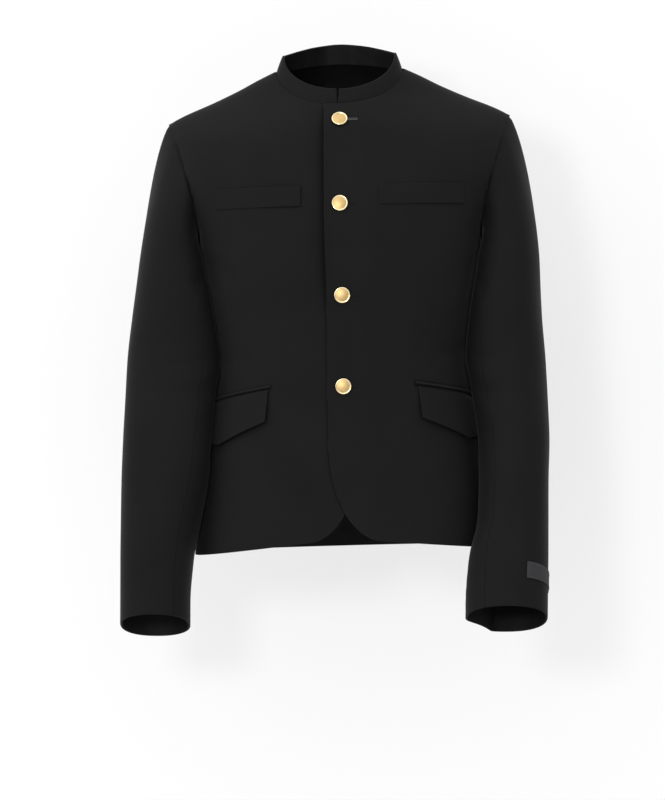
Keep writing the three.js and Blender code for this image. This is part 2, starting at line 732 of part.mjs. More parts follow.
// A worked keyhole buttonhole: a round eyelet for the shank and a slit beside it
function buttonholeCutter(seat) {
  const { eyelet, slitFrom, slitTo, slit, deep, segments } = BUTTONHOLE;
  const round = new THREE.CylinderGeometry(eyelet, eyelet, deep, segments);
  const straight = new THREE.BoxGeometry(slitTo - slitFrom, deep, slit);
  straight.translate((slitFrom + slitTo) / 2, 0, 0);
  return toSolid(round.applyMatrix4(seat)).add(toSolid(straight.applyMatrix4(seat)));
}

function overFront(seats) {
  const cut = seats.reduce((panel, seat) => panel.subtract(buttonholeCutter(seat)), toSolid(frontPanel(1)));
  return fromSolid(cut);
}

// Label: a small plain woven patch near the cuff, square to the cuff's slant
function cuffLabel(arm) {
  const cuff = arm.rings[arm.rings.length - 1].z;
  const top = arm.rings[0].z;
  const travelAt = (v) => 1 + (cuff + lerp(LABEL.high, LABEL.low, v) - top) / (cuff - top);
  return wallGeometry({
    surface: (u, v) => sleevePoint(arm, lerp(LABEL.from, LABEL.to, u), travelAt(v)),
    columns: evenly(0, 1, LABEL.columns),
    rows: [0, 0.5, 1],
    wall: LABEL.wall,
    raise: () => ON_CLOTH + LABEL.wall,
    place: (point) => swapSide(arm, point),
  });
}

const jacket = new THREE.Group();
const seats = BUTTON_HEIGHTS.map(buttonSeat);

jacket.add(piece("front_right", frontPanel(-1), cloth));
jacket.add(piece("front_left", overFront(seats), cloth));
jacket.add(piece("back", backPanel(), cloth));
jacket.add(piece("collar", collarBand(), cloth));

for (const [name, arm] of Object.entries(ARMS)) {
  arm.curves = ringCurves(arm);
  jacket.add(piece(`sleeve_${name}_top`, sleevePiece(arm, BACK_SEAM - 360, FRONT_SEAM, TOP_COLUMNS), cloth));
  jacket.add(piece(`sleeve_${name}_under`, sleevePiece(arm, FRONT_SEAM, BACK_SEAM, UNDER_COLUMNS), cloth));
  jacket.add(piece(`chest_welt_${name}`, chestWelt(arm.side), cloth));
  jacket.add(piece(`flap_${name}`, pocketFlap(arm.side), cloth));
  jacket.add(piece(`jet_${name}`, pocketJet(arm.side), cloth));
}

seats.forEach((seat, i) => {
  const button = piece(`button_${i + 1}`, buttonGeometry(), gold);
  button.applyMatrix4(seat);
  jacket.add(button);
});
jacket.add(piece("sleeve_label", cuffLabel(ARMS.left), woven));

export default jacket;
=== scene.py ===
import math

import bpy
import numpy as np
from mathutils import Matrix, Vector


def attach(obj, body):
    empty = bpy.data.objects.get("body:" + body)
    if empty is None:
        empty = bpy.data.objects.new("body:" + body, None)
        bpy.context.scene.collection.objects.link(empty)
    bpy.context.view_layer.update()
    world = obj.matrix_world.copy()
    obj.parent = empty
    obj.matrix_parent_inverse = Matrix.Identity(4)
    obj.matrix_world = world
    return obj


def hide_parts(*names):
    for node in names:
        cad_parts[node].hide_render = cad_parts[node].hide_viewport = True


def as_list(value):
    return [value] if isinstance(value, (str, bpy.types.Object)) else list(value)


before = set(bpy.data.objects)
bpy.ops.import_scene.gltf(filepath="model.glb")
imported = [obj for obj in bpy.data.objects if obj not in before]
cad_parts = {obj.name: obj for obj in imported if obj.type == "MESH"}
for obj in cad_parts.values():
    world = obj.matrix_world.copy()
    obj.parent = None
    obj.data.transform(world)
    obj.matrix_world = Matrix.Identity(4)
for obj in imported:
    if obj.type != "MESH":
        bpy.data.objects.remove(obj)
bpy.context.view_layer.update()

MM = 0.001


def table(columns, *rows):
    """Rows of numbers as one array for each named column."""
    values = np.array(rows, float)
    return {name: values[:, i] for i, name in enumerate(columns.split())}


# Cloth and seams
CLOTH = 2.5
SIDE_SEAM = 0.04  # the gap between the fronts and the back
ON_CLOTH = 0.5
TURNED_EDGE = 1.15  # radius of a folded edge, such as a hem
SEAM_EDGE = 0.7  # radius at which cloth dips into a seam
THINNEST = 0.1  # what a rounded edge always leaves of a wall

# Body
NECK_HALF = 82
FRONT_NECK_DROP = 51.5
BACK_NECK_RISE = 14.5
SHOULDER_HALF = 222
UNDERARM = -223.5
BODY_SQUARENESS = 2.7
SHOULDER_ROLL = 105
BODY = table(
    "z half front back",
    (40, 232, 30, 120),
    (14, 232, 36, 114),
    (0, 232, 41, 108),
    (-36.5, 232, 57, 102),
    (-51.5, 232, 67, 104),
    (-85, 231, 88, 112),
    (-110, 224, 99, 118),
    (-155, 209, 114, 126),
    (-190, 194, 120.5, 129),
    (-223.5, 183.5, 124, 130),
    (-275, 175, 125, 127),
    (-325, 167, 122, 120),
    (-375, 161, 117, 112.5),
    (-430, 168.5, 114, 109.5),
    (-480, 176.5, 114, 112),
    (-533, 184, 115.5, 117),
    (-585, 191, 117.5, 121),
    (-624, 195.5, 119, 124),
)
SHOULDER_LINE = table(
    "x z",
    (0, 29),
    (14, 29),
    (45, 19.5),
    (82, 0),
    (104, -10.5),
    (132, -25),
    (165, -40),
    (200, -54.5),
    (222, -65.5),
)
ARMHOLE = {
    "front": table(
        "x z",
        (183.5, -223.5),
        (182.8, -219.5),
        (182, -210.5),
        (184.5, -190.5),
        (192.5, -153.5),
        (206, -110.5),
        (214.5, -83),
        (222, -65.5),
    ),
    "back": table(
        "x z",
        (183.5, -223.5),
        (183.1, -219.5),
        (183, -210.5),
        (185.5, -190.5),
        (190, -153.5),
        (202.5, -110.5),
        (213, -83),
        (222, -65.5),
    ),
}
LAP = 20
LAP_LIFT = CLOTH + 0.5
LAP_FLAT_TO = 22
LAP_FADE_TO = 70
# Between two heights the over front's free edge stands off, and the under front sinks a little beside it
LAP_RUN = {"from": -34, "full_from": -90, "full_to": -265, "to": -340}
LAP_OPENS = {"by": 2.4, "reach": 16, "button_holds": 30, "held": 0.35}
LAP_DIPS = {"by": 4.0, "reach": 30, "under": 14}
HEM_CORNER = {"across": 70, "up": 124}
FRONT_HEM = -609.5
SIDE_HEM = {"x": 195.5, "z": -624}
STANCE_DROP = 0.028
STANCE_LEAN = table(
    "z x",
    (40, -0.9),
    (-72, -0.8),
    (-181, -0.5),
    (-297, 2.4),
    (-412, 4),
    (-576, 6.5),
    (-624, 7.5),
)

# Collar
COLLAR = {
    "wall": 3,
    "inset": 0.996,
    "top_half": 73.5,
    "top_depth": 0.9,
    "front": 21.5,
    "side": 20.5,
    "back": 24,
    "tuck": 1.6,
    "belly": 0.35,
    "round": 480,  # its length and height as the grid is divided
    "high": 22,
}
NOTCH = {"x": -2.5, "base": 0.3, "top": 2.2, "from": 0.35}
NOTCH_REACH = math.radians(11.25)

# Sleeves
ARM_SQUARENESS = 2.3
ARMS = {
    "right": {
        "side": -1,
        "rings": table(
            "z outer inner middle depth slope",
            (-255.5, 260, 166, -6, 72, 8),
            (-325.5, 269, 152, -16, 64, 9),
            (-377.5, 274.5, 147, -24, 54, 10),
            (-429.5, 277, 152, -30, 53, 11),
            (-481.5, 279.5, 158, -36, 53, 12),
            (-533.5, 281, 165, -44, 53, 14),
            (-585.5, 281.5, 177, -50, 52, 16),
            (-637.5, 282, 188, -52, 49, 18),
            (-689.5, 282, 192, -54, 47.5, 20),
            (-718.5, 282, 192, -56, 47, 20),
        ),
    },
    "left": {
        "side": 1,
        "rings": table(
            "z outer inner middle depth slope",
            (-255.5, 258.5, 168, -6, 76, 8),
            (-325.5, 261.5, 158, -14, 72, 9),
            (-377.5, 265.5, 155, -21, 64, 11),
            (-429.5, 268, 163, -28, 61, 13),
            (-481.5, 269.5, 173, -37, 61, 15),
            (-533.5, 267.5, 176, -51, 59, 18),
            (-585.5, 266.5, 174, -65, 53, 21),
            (-637.5, 265.5, 162, -79, 49, 24),
            (-689.5, 264, 159, -93, 43, 25),
            (-707.5, 263.5, 159, -98, 42, 25),
        ),
    },
}
# A sleeve's two seams, by degrees round the arm from its outer edge over the front
FRONT_SEAM = 121
BACK_SEAM = 260
SLEEVE_SEAM = 0.04  # degrees between a sleeve's top and under
SLEEVE_SET_IN = -0.4  # how far its edge stands past the armhole's
BICEPS_STEP = 5
SLEEVE_WIDTHS = {"top": 225, "under": 140}  # as the grid is divided
SOFT_TOUCH = 8  # over this distance a sleeve eases on to the body's side
CAP = {
    "length": 150,  # as the grid is divided
    "over": {"out": 0.5, "down": 0.87},
    "under": {"out": 0.25, "down": 0.97, "lift": 0.6},
    "swell": 0.2,
    "leave": 0.62,
    "arrive": 0.98,
    "clear_from": 0.3,
    "clear_to": 0.7,
    "edge_turn": 14,  # over this many millimetres the wall turns from the armhole's direction to its own
}
CLEARANCE = table(
    "z gap",
    (-724, 0.6),
    (-515, 0.6),
    (-495, 4.2),
    (-405, 4.2),
    (-380, 0.6),
    (-223.5, 0.6),
)

# Pockets, buttons and label
WELT = {"inner": 49.5, "outer": 158, "top": -157.5, "bottom": -183.5, "wall": 1.8}
FLAP = {
    "x": 94.8,
    "z": -413.5,
    "length": 124,
    "slope": 8.8,
    "lean": 5,
    "point_at": 68,
    "inner_depth": 41,
    "point_depth": 59,
    "outer_depth": 44,
    "wall": 2,
    "grid_depth": 50,
    "lift_bottom": 4.2,
    "lift_curve": 1.5,
}
JET = {"overrun": 3, "height": 5, "wall": 1.1, "gap": 1.6, "tuck": 1.2}
BUTTON_HEIGHTS = (-73.5, -181.5, -297, -412)
LABEL = {"from": -6, "to": 67.5, "round": 44, "low": 35, "high": 55, "wall": 0.6}

# How closely the surfaces are divided, in millimetres
STEP = 3.4
FRONT_STEP = 2.3
EDGE_STEPS = (0, 0.12, 0.35, 0.7, 1.15, 2.1)
NORMAL_STEP = 0.0004


def hermite(start, leave, end, arrive, t):
    a = start * (2 * t**3 - 3 * t**2 + 1) + leave * (t**3 - 2 * t**2 + t)
    return a + end * (3 * t**2 - 2 * t**3) + arrive * (t**3 - t**2)


def lerp(a, b, t):
    return a + (b - a) * t


def smoothstep(value, low, high):
    t = np.clip((value - low) / (high - low), 0, 1)
    return t * t * (3 - 2 * t)


def curve(rows, key, column):
    """One column of a table as a smooth curve through its rows that never overshoots them."""
    order = np.argsort(rows[key])
    at, value = rows[key][order], rows[column][order]
    slope = np.diff(value) / np.diff(at)
    tangent = np.zeros_like(value)
    tangent[0], tangent[-1] = slope[0], slope[-1]
    before, after = slope[:-1], slope[1:]
    same_way = before * after > 0
    total = np.where(same_way, before + after, 1)
    tangent[1:-1] = np.where(same_way, 2 * before * after / total, 0)

    def read(where):
        place = np.clip(where, at[0], at[-1])
        i = np.clip(np.searchsorted(at[1:], place), 0, len(at) - 2)
        span = at[i + 1] - at[i]
        t = (place - at[i]) / span
        return hermite(value[i], tangent[i] * span, value[i + 1], tangent[i + 1] * span, t)

    return read


half_width = curve(BODY, "z", "half")
section_depth = {"front": curve(BODY, "z", "front"), "back": curve(BODY, "z", "back")}
shoulder_height = curve(SHOULDER_LINE, "x", "z")
lean_at = curve(STANCE_LEAN, "z", "x")
clearance = curve(CLEARANCE, "z", "gap")


def body_depth(face, x, z):
    """How far the body's outer face stands before (or behind) the plane of the side seams."""
    across = np.minimum(1, np.abs(x) / half_width(z))
    round_part = (1 - across**BODY_SQUARENESS) ** (1 / BODY_SQUARENESS)
    under = np.clip((shoulder_height(np.abs(x)) - z) / SHOULDER_ROLL, 0, 1)
    return section_depth[face](z) * round_part * np.sqrt(1 - (1 - under) ** 2)


def body_point(face, x, z):
    depth = body_depth(face, x, z)
    x, z, depth = np.broadcast_arrays(x, z, depth)
    return np.stack([x, -depth if face == "front" else depth, z], axis=-1)


def lengths_along(path):
    """The length of a path up to each of its points."""
    return np.concatenate([[0], np.cumsum(np.linalg.norm(np.diff(path, axis=0), axis=1))])


def armhole_edge(face):
    """The armhole edge of a panel by its own length, from the underarm (0) to the shoulder tip (1)."""
    points = body_point(face, ARMHOLE[face]["x"], ARMHOLE[face]["z"])
    length = lengths_along(points)
    rows = {"length": length, "x": points[:, 0], "z": points[:, 2]}
    x, z = curve(rows, "length", "x"), curve(rows, "length", "z")
    return lambda share: (x(share * length[-1]), z(share * length[-1]))


def front_top(x):
    neck = -FRONT_NECK_DROP * np.sqrt(1 - (np.clip(x, 0, NECK_HALF) / NECK_HALF) ** 2)
    return np.where(x >= NECK_HALF, shoulder_height(x), neck)


def back_top(x):
    neck = BACK_NECK_RISE * (1 - (np.minimum(x, NECK_HALF) / NECK_HALF) ** 2)
    return np.where(x >= NECK_HALF, shoulder_height(x), neck)


def front_hem(x):
    corner_end = HEM_CORNER["across"] - LAP
    slanted = lerp(FRONT_HEM, SIDE_HEM["z"], (x - corner_end) / (SIDE_HEM["x"] - corner_end))
    across = np.clip((corner_end - x) / HEM_CORNER["across"], 0, 1)
    rounded = FRONT_HEM + HEM_CORNER["up"] * (1 - np.sqrt(1 - across**2))
    return np.where(x > corner_end, slanted, rounded)


def back_hem(x):
    return SIDE_HEM["z"] + 0 * x


PANELS = {
    "front": {"start": -LAP, "top": front_top, "hem": front_hem, "armhole": armhole_edge("front")},
    "back": {"start": 0, "top": back_top, "hem": back_hem, "armhole": armhole_edge("back")},
}


def panel_point(face, share, level):
    """A point of a panel: share runs from the centre (0) to the side (1), and level runs from the hem (-1)
    over the underarm (0) to the neck and shoulder (1)."""
    panel = PANELS[face]
    start = panel["start"]
    low_z = lerp(panel["hem"](lerp(start, SIDE_HEM["x"], share)), UNDERARM, np.clip(level, -1, 0) + 1)
    low_x = lerp(start, half_width(low_z), share)
    edge_x, edge_z = panel["armhole"](np.clip(level, 0, 1))
    tip = shoulder_height(SHOULDER_HALF)
    rise = lerp(np.clip(level, 0, 1), (edge_z - UNDERARM) / (tip - UNDERARM), share**2)
    high_z = lerp(UNDERARM, panel["top"](lerp(start, SHOULDER_HALF, share)), rise)
    high_x = lerp(start, edge_x, share)
    below = level < 0
    return body_point(face, np.where(below, low_x, high_x), np.where(below, low_z, high_z))


def stand(side, points):
    """Places body points in the standing pose: one shoulder a little lower, and a slight lean."""
    x = side * points[..., 0]
    return np.stack([x + lean_at(points[..., 2]), points[..., 1], points[..., 2] + STANCE_DROP * x], axis=-1)


def unit(vectors):
    return vectors / np.maximum(np.linalg.norm(vectors, axis=-1, keepdims=True), 1e-9)


def normals(surface, u, v, runs_on):
    """Unit normals of a surface, with u to the right and v up as seen from outside."""
    step = NORMAL_STEP
    left, right = (u - step, u + step) if runs_on else (np.maximum(u - step, 0), np.minimum(u + step, 1))
    low, high = np.maximum(v - step, 0), np.minimum(v + step, 1)
    across = surface(right, v) - surface(left, v)
    up = surface(u, high) - surface(u, low)
    return unit(np.cross(across, up))


def divided(length, close_low=True, close_high=True, step=STEP):
    """Shares of a length at even steps, with closer ones at the ends where the cloth's edge is rounded."""
    ends = np.array(EDGE_STEPS) * TURNED_EDGE
    low, high = (ends[-1] if close_low else 0), (length - ends[-1] if close_high else length)
    inner = np.linspace(low, high, max(2, round((high - low) / step) + 1))
    first = ends[:-1] if close_low else []
    last = (length - ends[:-1])[::-1] if close_high else []
    return np.concatenate([first, inner, last]) / length


def edge_lengths(points, axis):
    """How far each point of a grid lies from both ends of its row (axis 1) or column (axis 0)."""
    steps = np.linalg.norm(np.diff(points, axis=axis), axis=-1)
    start = np.zeros_like(points[..., 0])
    if axis == 1:
        start[:, 1:] = np.cumsum(steps, axis=1)
        return start, start[:, -1:] - start
    start[1:] = np.cumsum(steps, axis=0)
    return start, start[-1:] - start


def rounding(points, edges):
    """How far the cloth's face falls back at its rounded edges. edges is the radius at the left, right, low
    and high edge, and 0 leaves an edge square."""
    distances = (*edge_lengths(points, 1), *edge_lengths(points, 0))
    drop = np.zeros_like(points[..., 0])
    for distance, radius in zip(distances, edges):
        if radius:
            inside = np.clip(1 - distance / radius, 0, 1)
            drop = np.maximum(drop, radius * (1 - np.sqrt(1 - inside**2)))
    return drop


def grid_faces(tall, wide):
    a = (np.arange(tall - 1)[:, None] * wide + np.arange(wide - 1)[None, :]).ravel()
    return np.stack([a, a + 1, a + wide + 1, a + wide], axis=1)


def wall(surface, columns, rows, thickness, lift=None, place=None, edges=(0, 0, 0, 0), inner_edges=None,
         runs_on=False, turned=None):
    """A closed wall of cloth. lift is how far its face stands above the surface, and turned gives the
    wall's own direction where it isn't the surface's. Returns points, faces, and the length round and up
    of each point for the weave."""
    u, v = np.meshgrid(columns, rows)
    points = surface(u, v)
    normal = normals(surface, u, v, runs_on)
    raised = lift(points, u, v) if lift else np.zeros_like(u)
    through = turned(normal, u, v) if turned else normal
    face_points = points + normal * raised[..., None]
    drop = rounding(points, edges)
    rise = rounding(points, inner_edges if inner_edges is not None else edges)
    outer = face_points - through * drop[..., None]
    inner = face_points - through * (thickness - np.minimum(rise, thickness - drop - THINNEST))[..., None]
    if place:
        outer, inner = place(outer), place(inner)
    tall, wide = u.shape
    front = grid_faces(tall, wide)
    count = tall * wide
    back = front[:, ::-1] + count
    low = np.arange(wide)
    high = (tall - 1) * wide + low
    left = np.arange(tall) * wide
    right = left + wide - 1

    def rim(line, forward):
        a, b = line[:-1], line[1:]
        quads = np.stack([a, a + count, b + count, b], axis=1)
        return quads if forward else quads[:, ::-1]

    rims = np.concatenate([rim(low, True), rim(high, False), rim(left, False), rim(right, True)])
    across, _ = edge_lengths(points, 1)
    up, _ = edge_lengths(points, 0)
    flat = np.stack([across, up], axis=-1).reshape(-1, 2)
    return {
        "points": np.concatenate([outer.reshape(-1, 3), inner.reshape(-1, 3)]),
        "faces": np.concatenate([front, back, rims]),
        "flat": np.concatenate([flat, flat]),
        "inside": np.concatenate([np.zeros(len(front)), np.ones(len(back)), np.zeros(len(rims))]),
    }


def signed_volume(points, faces):
    a, b, c, d = (points[faces[:, i]] for i in range(4))
    parts = np.einsum("ij,ij->i", a, np.cross(b, c)) + np.einsum("ij,ij->i", a, np.cross(c, d))
    return parts.sum() / 6


def placed(name, data):
    """A new object in the scene: a mesh, a light or the camera."""
    made = bpy.data.objects.new(name, data)
    bpy.context.scene.collection.objects.link(made)
    return made


def mesh_object(name, form, materials):
    """A Blender object from a wall or another form in millimetres."""
    faces = form["faces"]
    if signed_volume(form["points"], faces) < 0:
        faces = faces[:, ::-1]
    mesh = bpy.data.meshes.new(name)
    mesh.from_pydata((form["points"] * MM).tolist(), [], faces.tolist())
    for material in materials:
        mesh.materials.append(material)
    mesh.polygons.foreach_set("use_smooth", np.ones(len(faces), bool))
    if len(materials) > 1:
        mesh.polygons.foreach_set("material_index", form["inside"].astype(np.int32))
    layer = mesh.uv_layers.new(name="weave")
    corner = np.zeros(len(mesh.loops), np.int32)
    mesh.loops.foreach_get("vertex_index", corner)
    layer.data.foreach_set("uv", (form["flat"][corner] * MM).ravel())
    mesh.validate()
    return placed(name, mesh)


def joined(forms):
    """Several forms as one."""
    starts = np.cumsum([0, *(len(form["points"]) for form in forms)])
    faces = [form["faces"] + start for form, start in zip(forms, starts)]
    points, flat = (np.concatenate([form[part] for form in forms]) for part in ("points", "flat"))
    return {"points": points, "faces": np.concatenate(faces), "flat": flat}


# Folds: each is a soft trough or ridge along a path on the cloth, written as its path, its height, which is
# negative for a trough, and the width at which it has faded to about a third.
# The body's paths go by x and z.
BODY_FOLDS = {
    "front": [
        # the hollows in front of the armholes, deeper on the wearer's right
        ([(-158, -92), (-144, -146), (-152, -205)], -1.7, 22),
        ([(160, -96), (147, -148), (154, -200)], -1.1, 20),
        # pulled lightly from the underarms towards the chest
        ([(-172, -236), (-150, -262), (-118, -286)], -1.1, 9),
        ([(-176, -262), (-152, -292), (-124, -318)], 0.9, 11),
        ([(174, -238), (150, -268), (124, -300)], -1.0, 10),
        ([(172, -270), (146, -305), (118, -330)], 0.8, 12),
        # the waist gives a little at both sides, and beside the third button
        ([(160, -352), (140, -366), (112, -372)], -1.3, 8),
        ([(161, -372), (138, -388), (108, -396)], 1.0, 9),
        ([(-160, -362), (-136, -374), (-106, -378)], -1.0, 9),
        ([(-158, -382), (-134, -395), (-112, -400)], 0.7, 9),
        ([(14, -300), (46, -312), (84, -318)], -0.6, 9),
        ([(-26, -302), (-58, -316), (-92, -322)], -0.5, 9),
        # drapes from the chest down each side of the front
        ([(128, -200), (124, -262), (130, -330)], 0.9, 22),
        ([(-130, -196), (-127, -260), (-132, -330)], 0.9, 22),
        ([(70, -440), (78, -520), (84, -600)], 1.1, 26),
        ([(-74, -445), (-82, -520), (-86, -600)], 1.0, 26),
        ([(138, -490), (146, -560), (152, -612)], -1.0, 20),
        ([(-140, -490), (-148, -560), (-152, -612)], -1.1, 20),
    ],
    "back": [
        # under the collar, and the waist
        ([(-60, -14), (0, -22), (60, -15)], -1.1, 9),
        ([(-78, -34), (0, -42), (78, -36)], 0.8, 12),
        ([(-150, -352), (-80, -366), (-14, -370)], -1.4, 10),
        ([(-146, -374), (-84, -388), (-26, -392)], 1.0, 11),
        ([(150, -360), (90, -374), (26, -380)], -1.2, 10),
        ([(146, -382), (84, -398), (34, -402)], 0.9, 11),
        ([(168, -230), (140, -270), (118, -318)], -1.3, 12),
        ([(-168, -228), (-142, -266), (-116, -312)], -1.2, 12),
        ([(96, -120), (110, -180), (112, -250)], 1.2, 22),
        ([(-96, -118), (-110, -182), (-114, -250)], 1.2, 22),
        ([(62, -440), (72, -530), (80, -618)], 1.4, 26),
        ([(-66, -446), (-74, -530), (-84, -618)], 1.3, 26),
    ],
}

# Sleeve folds by degrees round the arm from its outer edge over the front, and by height
SLEEVE_FOLDS = {
    "right": [
        # under the arm
        ([(150, -262), (128, -282), (108, -296)], -1.3, 9),
        ([(152, -284), (130, -306), (106, -322)], 0.9, 10),
        # inside the elbow
        ([(168, -372), (138, -384), (104, -388), (74, -380)], -1.5, 8),
        ([(166, -392), (136, -404), (102, -410), (66, -402)], 1.1, 9),
        ([(166, -414), (136, -426), (100, -431), (76, -428)], -1.2, 8),
        ([(160, -440), (130, -452), (104, -456)], 0.8, 10),
        # down the forearm
        ([(64, -450), (70, -520), (78, -590)], -0.8, 14),
        ([(36, -420), (44, -520), (50, -620)], 0.9, 18),
        ([(120, -646), (96, -660), (66, -664)], -0.8, 10),
        # over the elbow's back and the outside of the upper arm
        ([(290, -364), (262, -388), (236, -402)], -1.4, 11),
        ([(300, -420), (268, -440), (236, -448)], -1.2, 12),
        ([(20, -150), (24, -220), (22, -300)], 0.7, 18),
        ([(310, -560), (290, -610), (284, -660)], 0.9, 16),
        ([(215, -262), (240, -292), (262, -312)], -1.3, 11),
    ],
    "left": [
        ([(152, -258), (130, -284), (112, -304)], -1.2, 9),
        ([(150, -290), (128, -314), (108, -332)], 0.9, 11),
        ([(166, -366), (138, -380), (106, -386), (80, -380)], -1.4, 8),
        ([(166, -388), (138, -402), (104, -410), (76, -404)], 1.1, 9),
        ([(164, -412), (136, -428), (102, -436), (70, -430)], -1.5, 8),
        ([(160, -438), (132, -454), (100, -462)], 1.0, 10),
        ([(158, -466), (134, -480), (110, -486)], -0.9, 9),
        ([(58, -460), (66, -530), (76, -600)], -0.8, 15),
        ([(30, -430), (38, -520), (46, -610)], 0.8, 18),
        ([(118, -640), (96, -656), (72, -660)], -0.7, 10),
        ([(292, -360), (262, -384), (234, -398)], -1.5, 11),
        ([(300, -412), (268, -436), (234, -446)], -1.3, 12),
        ([(18, -150), (22, -220), (22, -300)], 0.7, 18),
        ([(308, -540), (290, -600), (284, -650)], 0.9, 16),
        ([(214, -260), (240, -290), (262, -316)], -1.3, 11),
    ],
}

FOLD_GAIN = 1.3
FOLD_ENDS = 0.35  # the share of a fold's length over which each end fades


def smooth_path(points, parts=6):
    """More points along a path, on a smooth line through the given ones."""
    ends = np.concatenate([[2 * points[0] - points[1]], points, [2 * points[-1] - points[-2]]])
    made = []
    for i in range(1, len(ends) - 2):
        for t in np.arange(parts) / parts:
            leave, arrive = (ends[i + 1] - ends[i - 1]) / 2, (ends[i + 2] - ends[i]) / 2
            made.append(hermite(ends[i], leave, ends[i + 1], arrive, t))
    return np.array([*made, ends[-2]])


def along_path(points, path):
    """The distance of each point from a path, and its place along the path from 0 to 1."""
    lengths = np.linalg.norm(np.diff(path, axis=0), axis=1)
    before = lengths_along(path)
    nearest = np.full(points.shape[:-1], np.inf)
    place = np.zeros(points.shape[:-1])
    for i, length in enumerate(lengths):
        run = path[i + 1] - path[i]
        t = np.clip((points - path[i]) @ run / length**2, 0, 1)
        distance = np.linalg.norm(points - path[i] - t[..., None] * run, axis=-1)
        closer = distance < nearest
        nearest = np.where(closer, distance, nearest)
        place = np.where(closer, (before[i] + t * length) / before[-1], place)
    return nearest, place


def relief(points, paths):
    """How far the folds push the cloth out at each point."""
    pushed = np.zeros(points.shape[:-1])
    for path, height, width in paths:
        distance, place = along_path(points, path)
        ends = smoothstep(place, 0, FOLD_ENDS) * smoothstep(1 - place, 0, FOLD_ENDS)
        pushed += FOLD_GAIN * height * ends * np.exp(-((distance / width) ** 2))
    return pushed


def fold_paths(folds, to_space):
    """Folds as smooth paths in space, with their heights and widths."""
    made = []
    for path, height, width in folds:
        first, second = (np.array(part, float) for part in zip(*path))
        made.append((smooth_path(to_space(first, second)), height, width))
    return made


def body_paths(face):
    return fold_paths(BODY_FOLDS[face], lambda x, z: body_point(face, x, z))


def sleeve_paths(arm, name):
    return fold_paths(SLEEVE_FOLDS[name], lambda angle, z: ring_point(arm, angle, z))


# Fronts and back
def lap_lift(side, x):
    return LAP_LIFT * (1 - smoothstep(x, LAP_FLAT_TO, LAP_FADE_TO)) if side > 0 else 0 * x


def lap_height(z):
    opened = smoothstep(-z, -LAP_RUN["from"], -LAP_RUN["full_from"])
    return opened * (1 - smoothstep(-z, -LAP_RUN["full_to"], -LAP_RUN["to"]))


def lap_opening(x, z):
    """The over front's free edge stands off the under front, most between the collar and the third button."""
    held = sum(np.exp(-(((z - button) / LAP_OPENS["button_holds"]) ** 2)) for button in BUTTON_HEIGHTS)
    free = 1 - LAP_OPENS["held"] * np.minimum(held, 1)
    reach = np.clip(1 - (x + LAP) / LAP_OPENS["reach"], 0, 1)
    return LAP_OPENS["by"] * lap_height(z) * free * reach**2


def lap_dip(x, z):
    """The under front sinks beside the lap's edge, and comes back up under the lap."""
    beside = np.clip(1 - (x - LAP) / LAP_DIPS["reach"], 0, 1) ** 2
    under = smoothstep(x, LAP - LAP_DIPS["under"], LAP)
    return -LAP_DIPS["by"] * lap_height(z) * np.where(x > LAP, beside, under)


MOUTH = -0.9  # where the pocket's mouth runs, up from the flap's top
POCKET_TROUGHS = {-1: {"depth": 1.7, "width": 2.0}, 1: {"depth": 3.2, "width": 3.2}}
FLAP_DIPS = {-1: {"by": 1.6, "from": 0.9}, 1: {"by": 2.8, "from": 0.86}}


def pocket_trough(points, side):
    """The front gives a little along the pocket's mouth, so the mouth reads as a dark line."""
    looks = POCKET_TROUGHS[side]
    along = np.linspace(-1, FLAP["length"] + 1, 26)
    distance, _ = along_path(points, pocket_point(along, np.full_like(along, MOUTH)))
    return -looks["depth"] * np.exp(-((distance / looks["width"]) ** 2))


SEAM_DIP = {"depth": 1.1, "reach": 8}


def seam_dip(distance, along):
    """Cloth draws in beside a sewn seam, a little more at some stitches than at others."""
    uneven = 1 + 0.3 * np.sin(along * 0.11 + 0.7) + 0.2 * np.sin(along * 0.29)
    return -SEAM_DIP["depth"] * uneven * (1 - smoothstep(distance, 0, SEAM_DIP["reach"]))


def to_level(v):
    return v * 2 - 1


def panel_rows():
    """Even rows from the hem to the underarm, then closer ones towards the shoulder."""
    low = divided(abs(SIDE_HEM["z"] - UNDERARM), True, False, step=FRONT_STEP) / 2
    steps = np.linspace(0, 90, 84)[1:]
    high = (np.sin(np.radians(steps)) + 1) / 2
    return np.concatenate([low, high])


def front_form(side):
    paths = body_paths("front")

    def lift(points, u, v):
        x, z = points[..., 0], points[..., 2]
        real = points * np.array([side, 1, 1])  # with the side's own x
        away_from_edges = smoothstep(u, 0.02, 0.2) * smoothstep(1 - u, 0, 0.08)
        folds = relief(real, paths) * lerp(0.25, 1, away_from_edges)
        opening = lap_opening(x, z) if side > 0 else lap_dip(x, z)
        at_armhole = smoothstep(z, UNDERARM - 12, UNDERARM)
        seam = seam_dip((1 - u) * SHOULDER_HALF, z) * at_armhole
        return lap_lift(side, x) + opening + folds + seam + pocket_trough(points, side)

    def place(points):
        held = points.copy()
        held[..., 1] = np.minimum(held[..., 1], -SIDE_SEAM / 2)
        return stand(side, held)

    return wall(
        lambda u, v: panel_point("front", u, to_level(v)),
        divided(SHOULDER_HALF + LAP, step=FRONT_STEP),
        panel_rows(),
        CLOTH,
        lift,
        place,
        edges=(TURNED_EDGE, SEAM_EDGE, TURNED_EDGE, SEAM_EDGE),
        inner_edges=(TURNED_EDGE, 0, TURNED_EDGE, 0),
    )


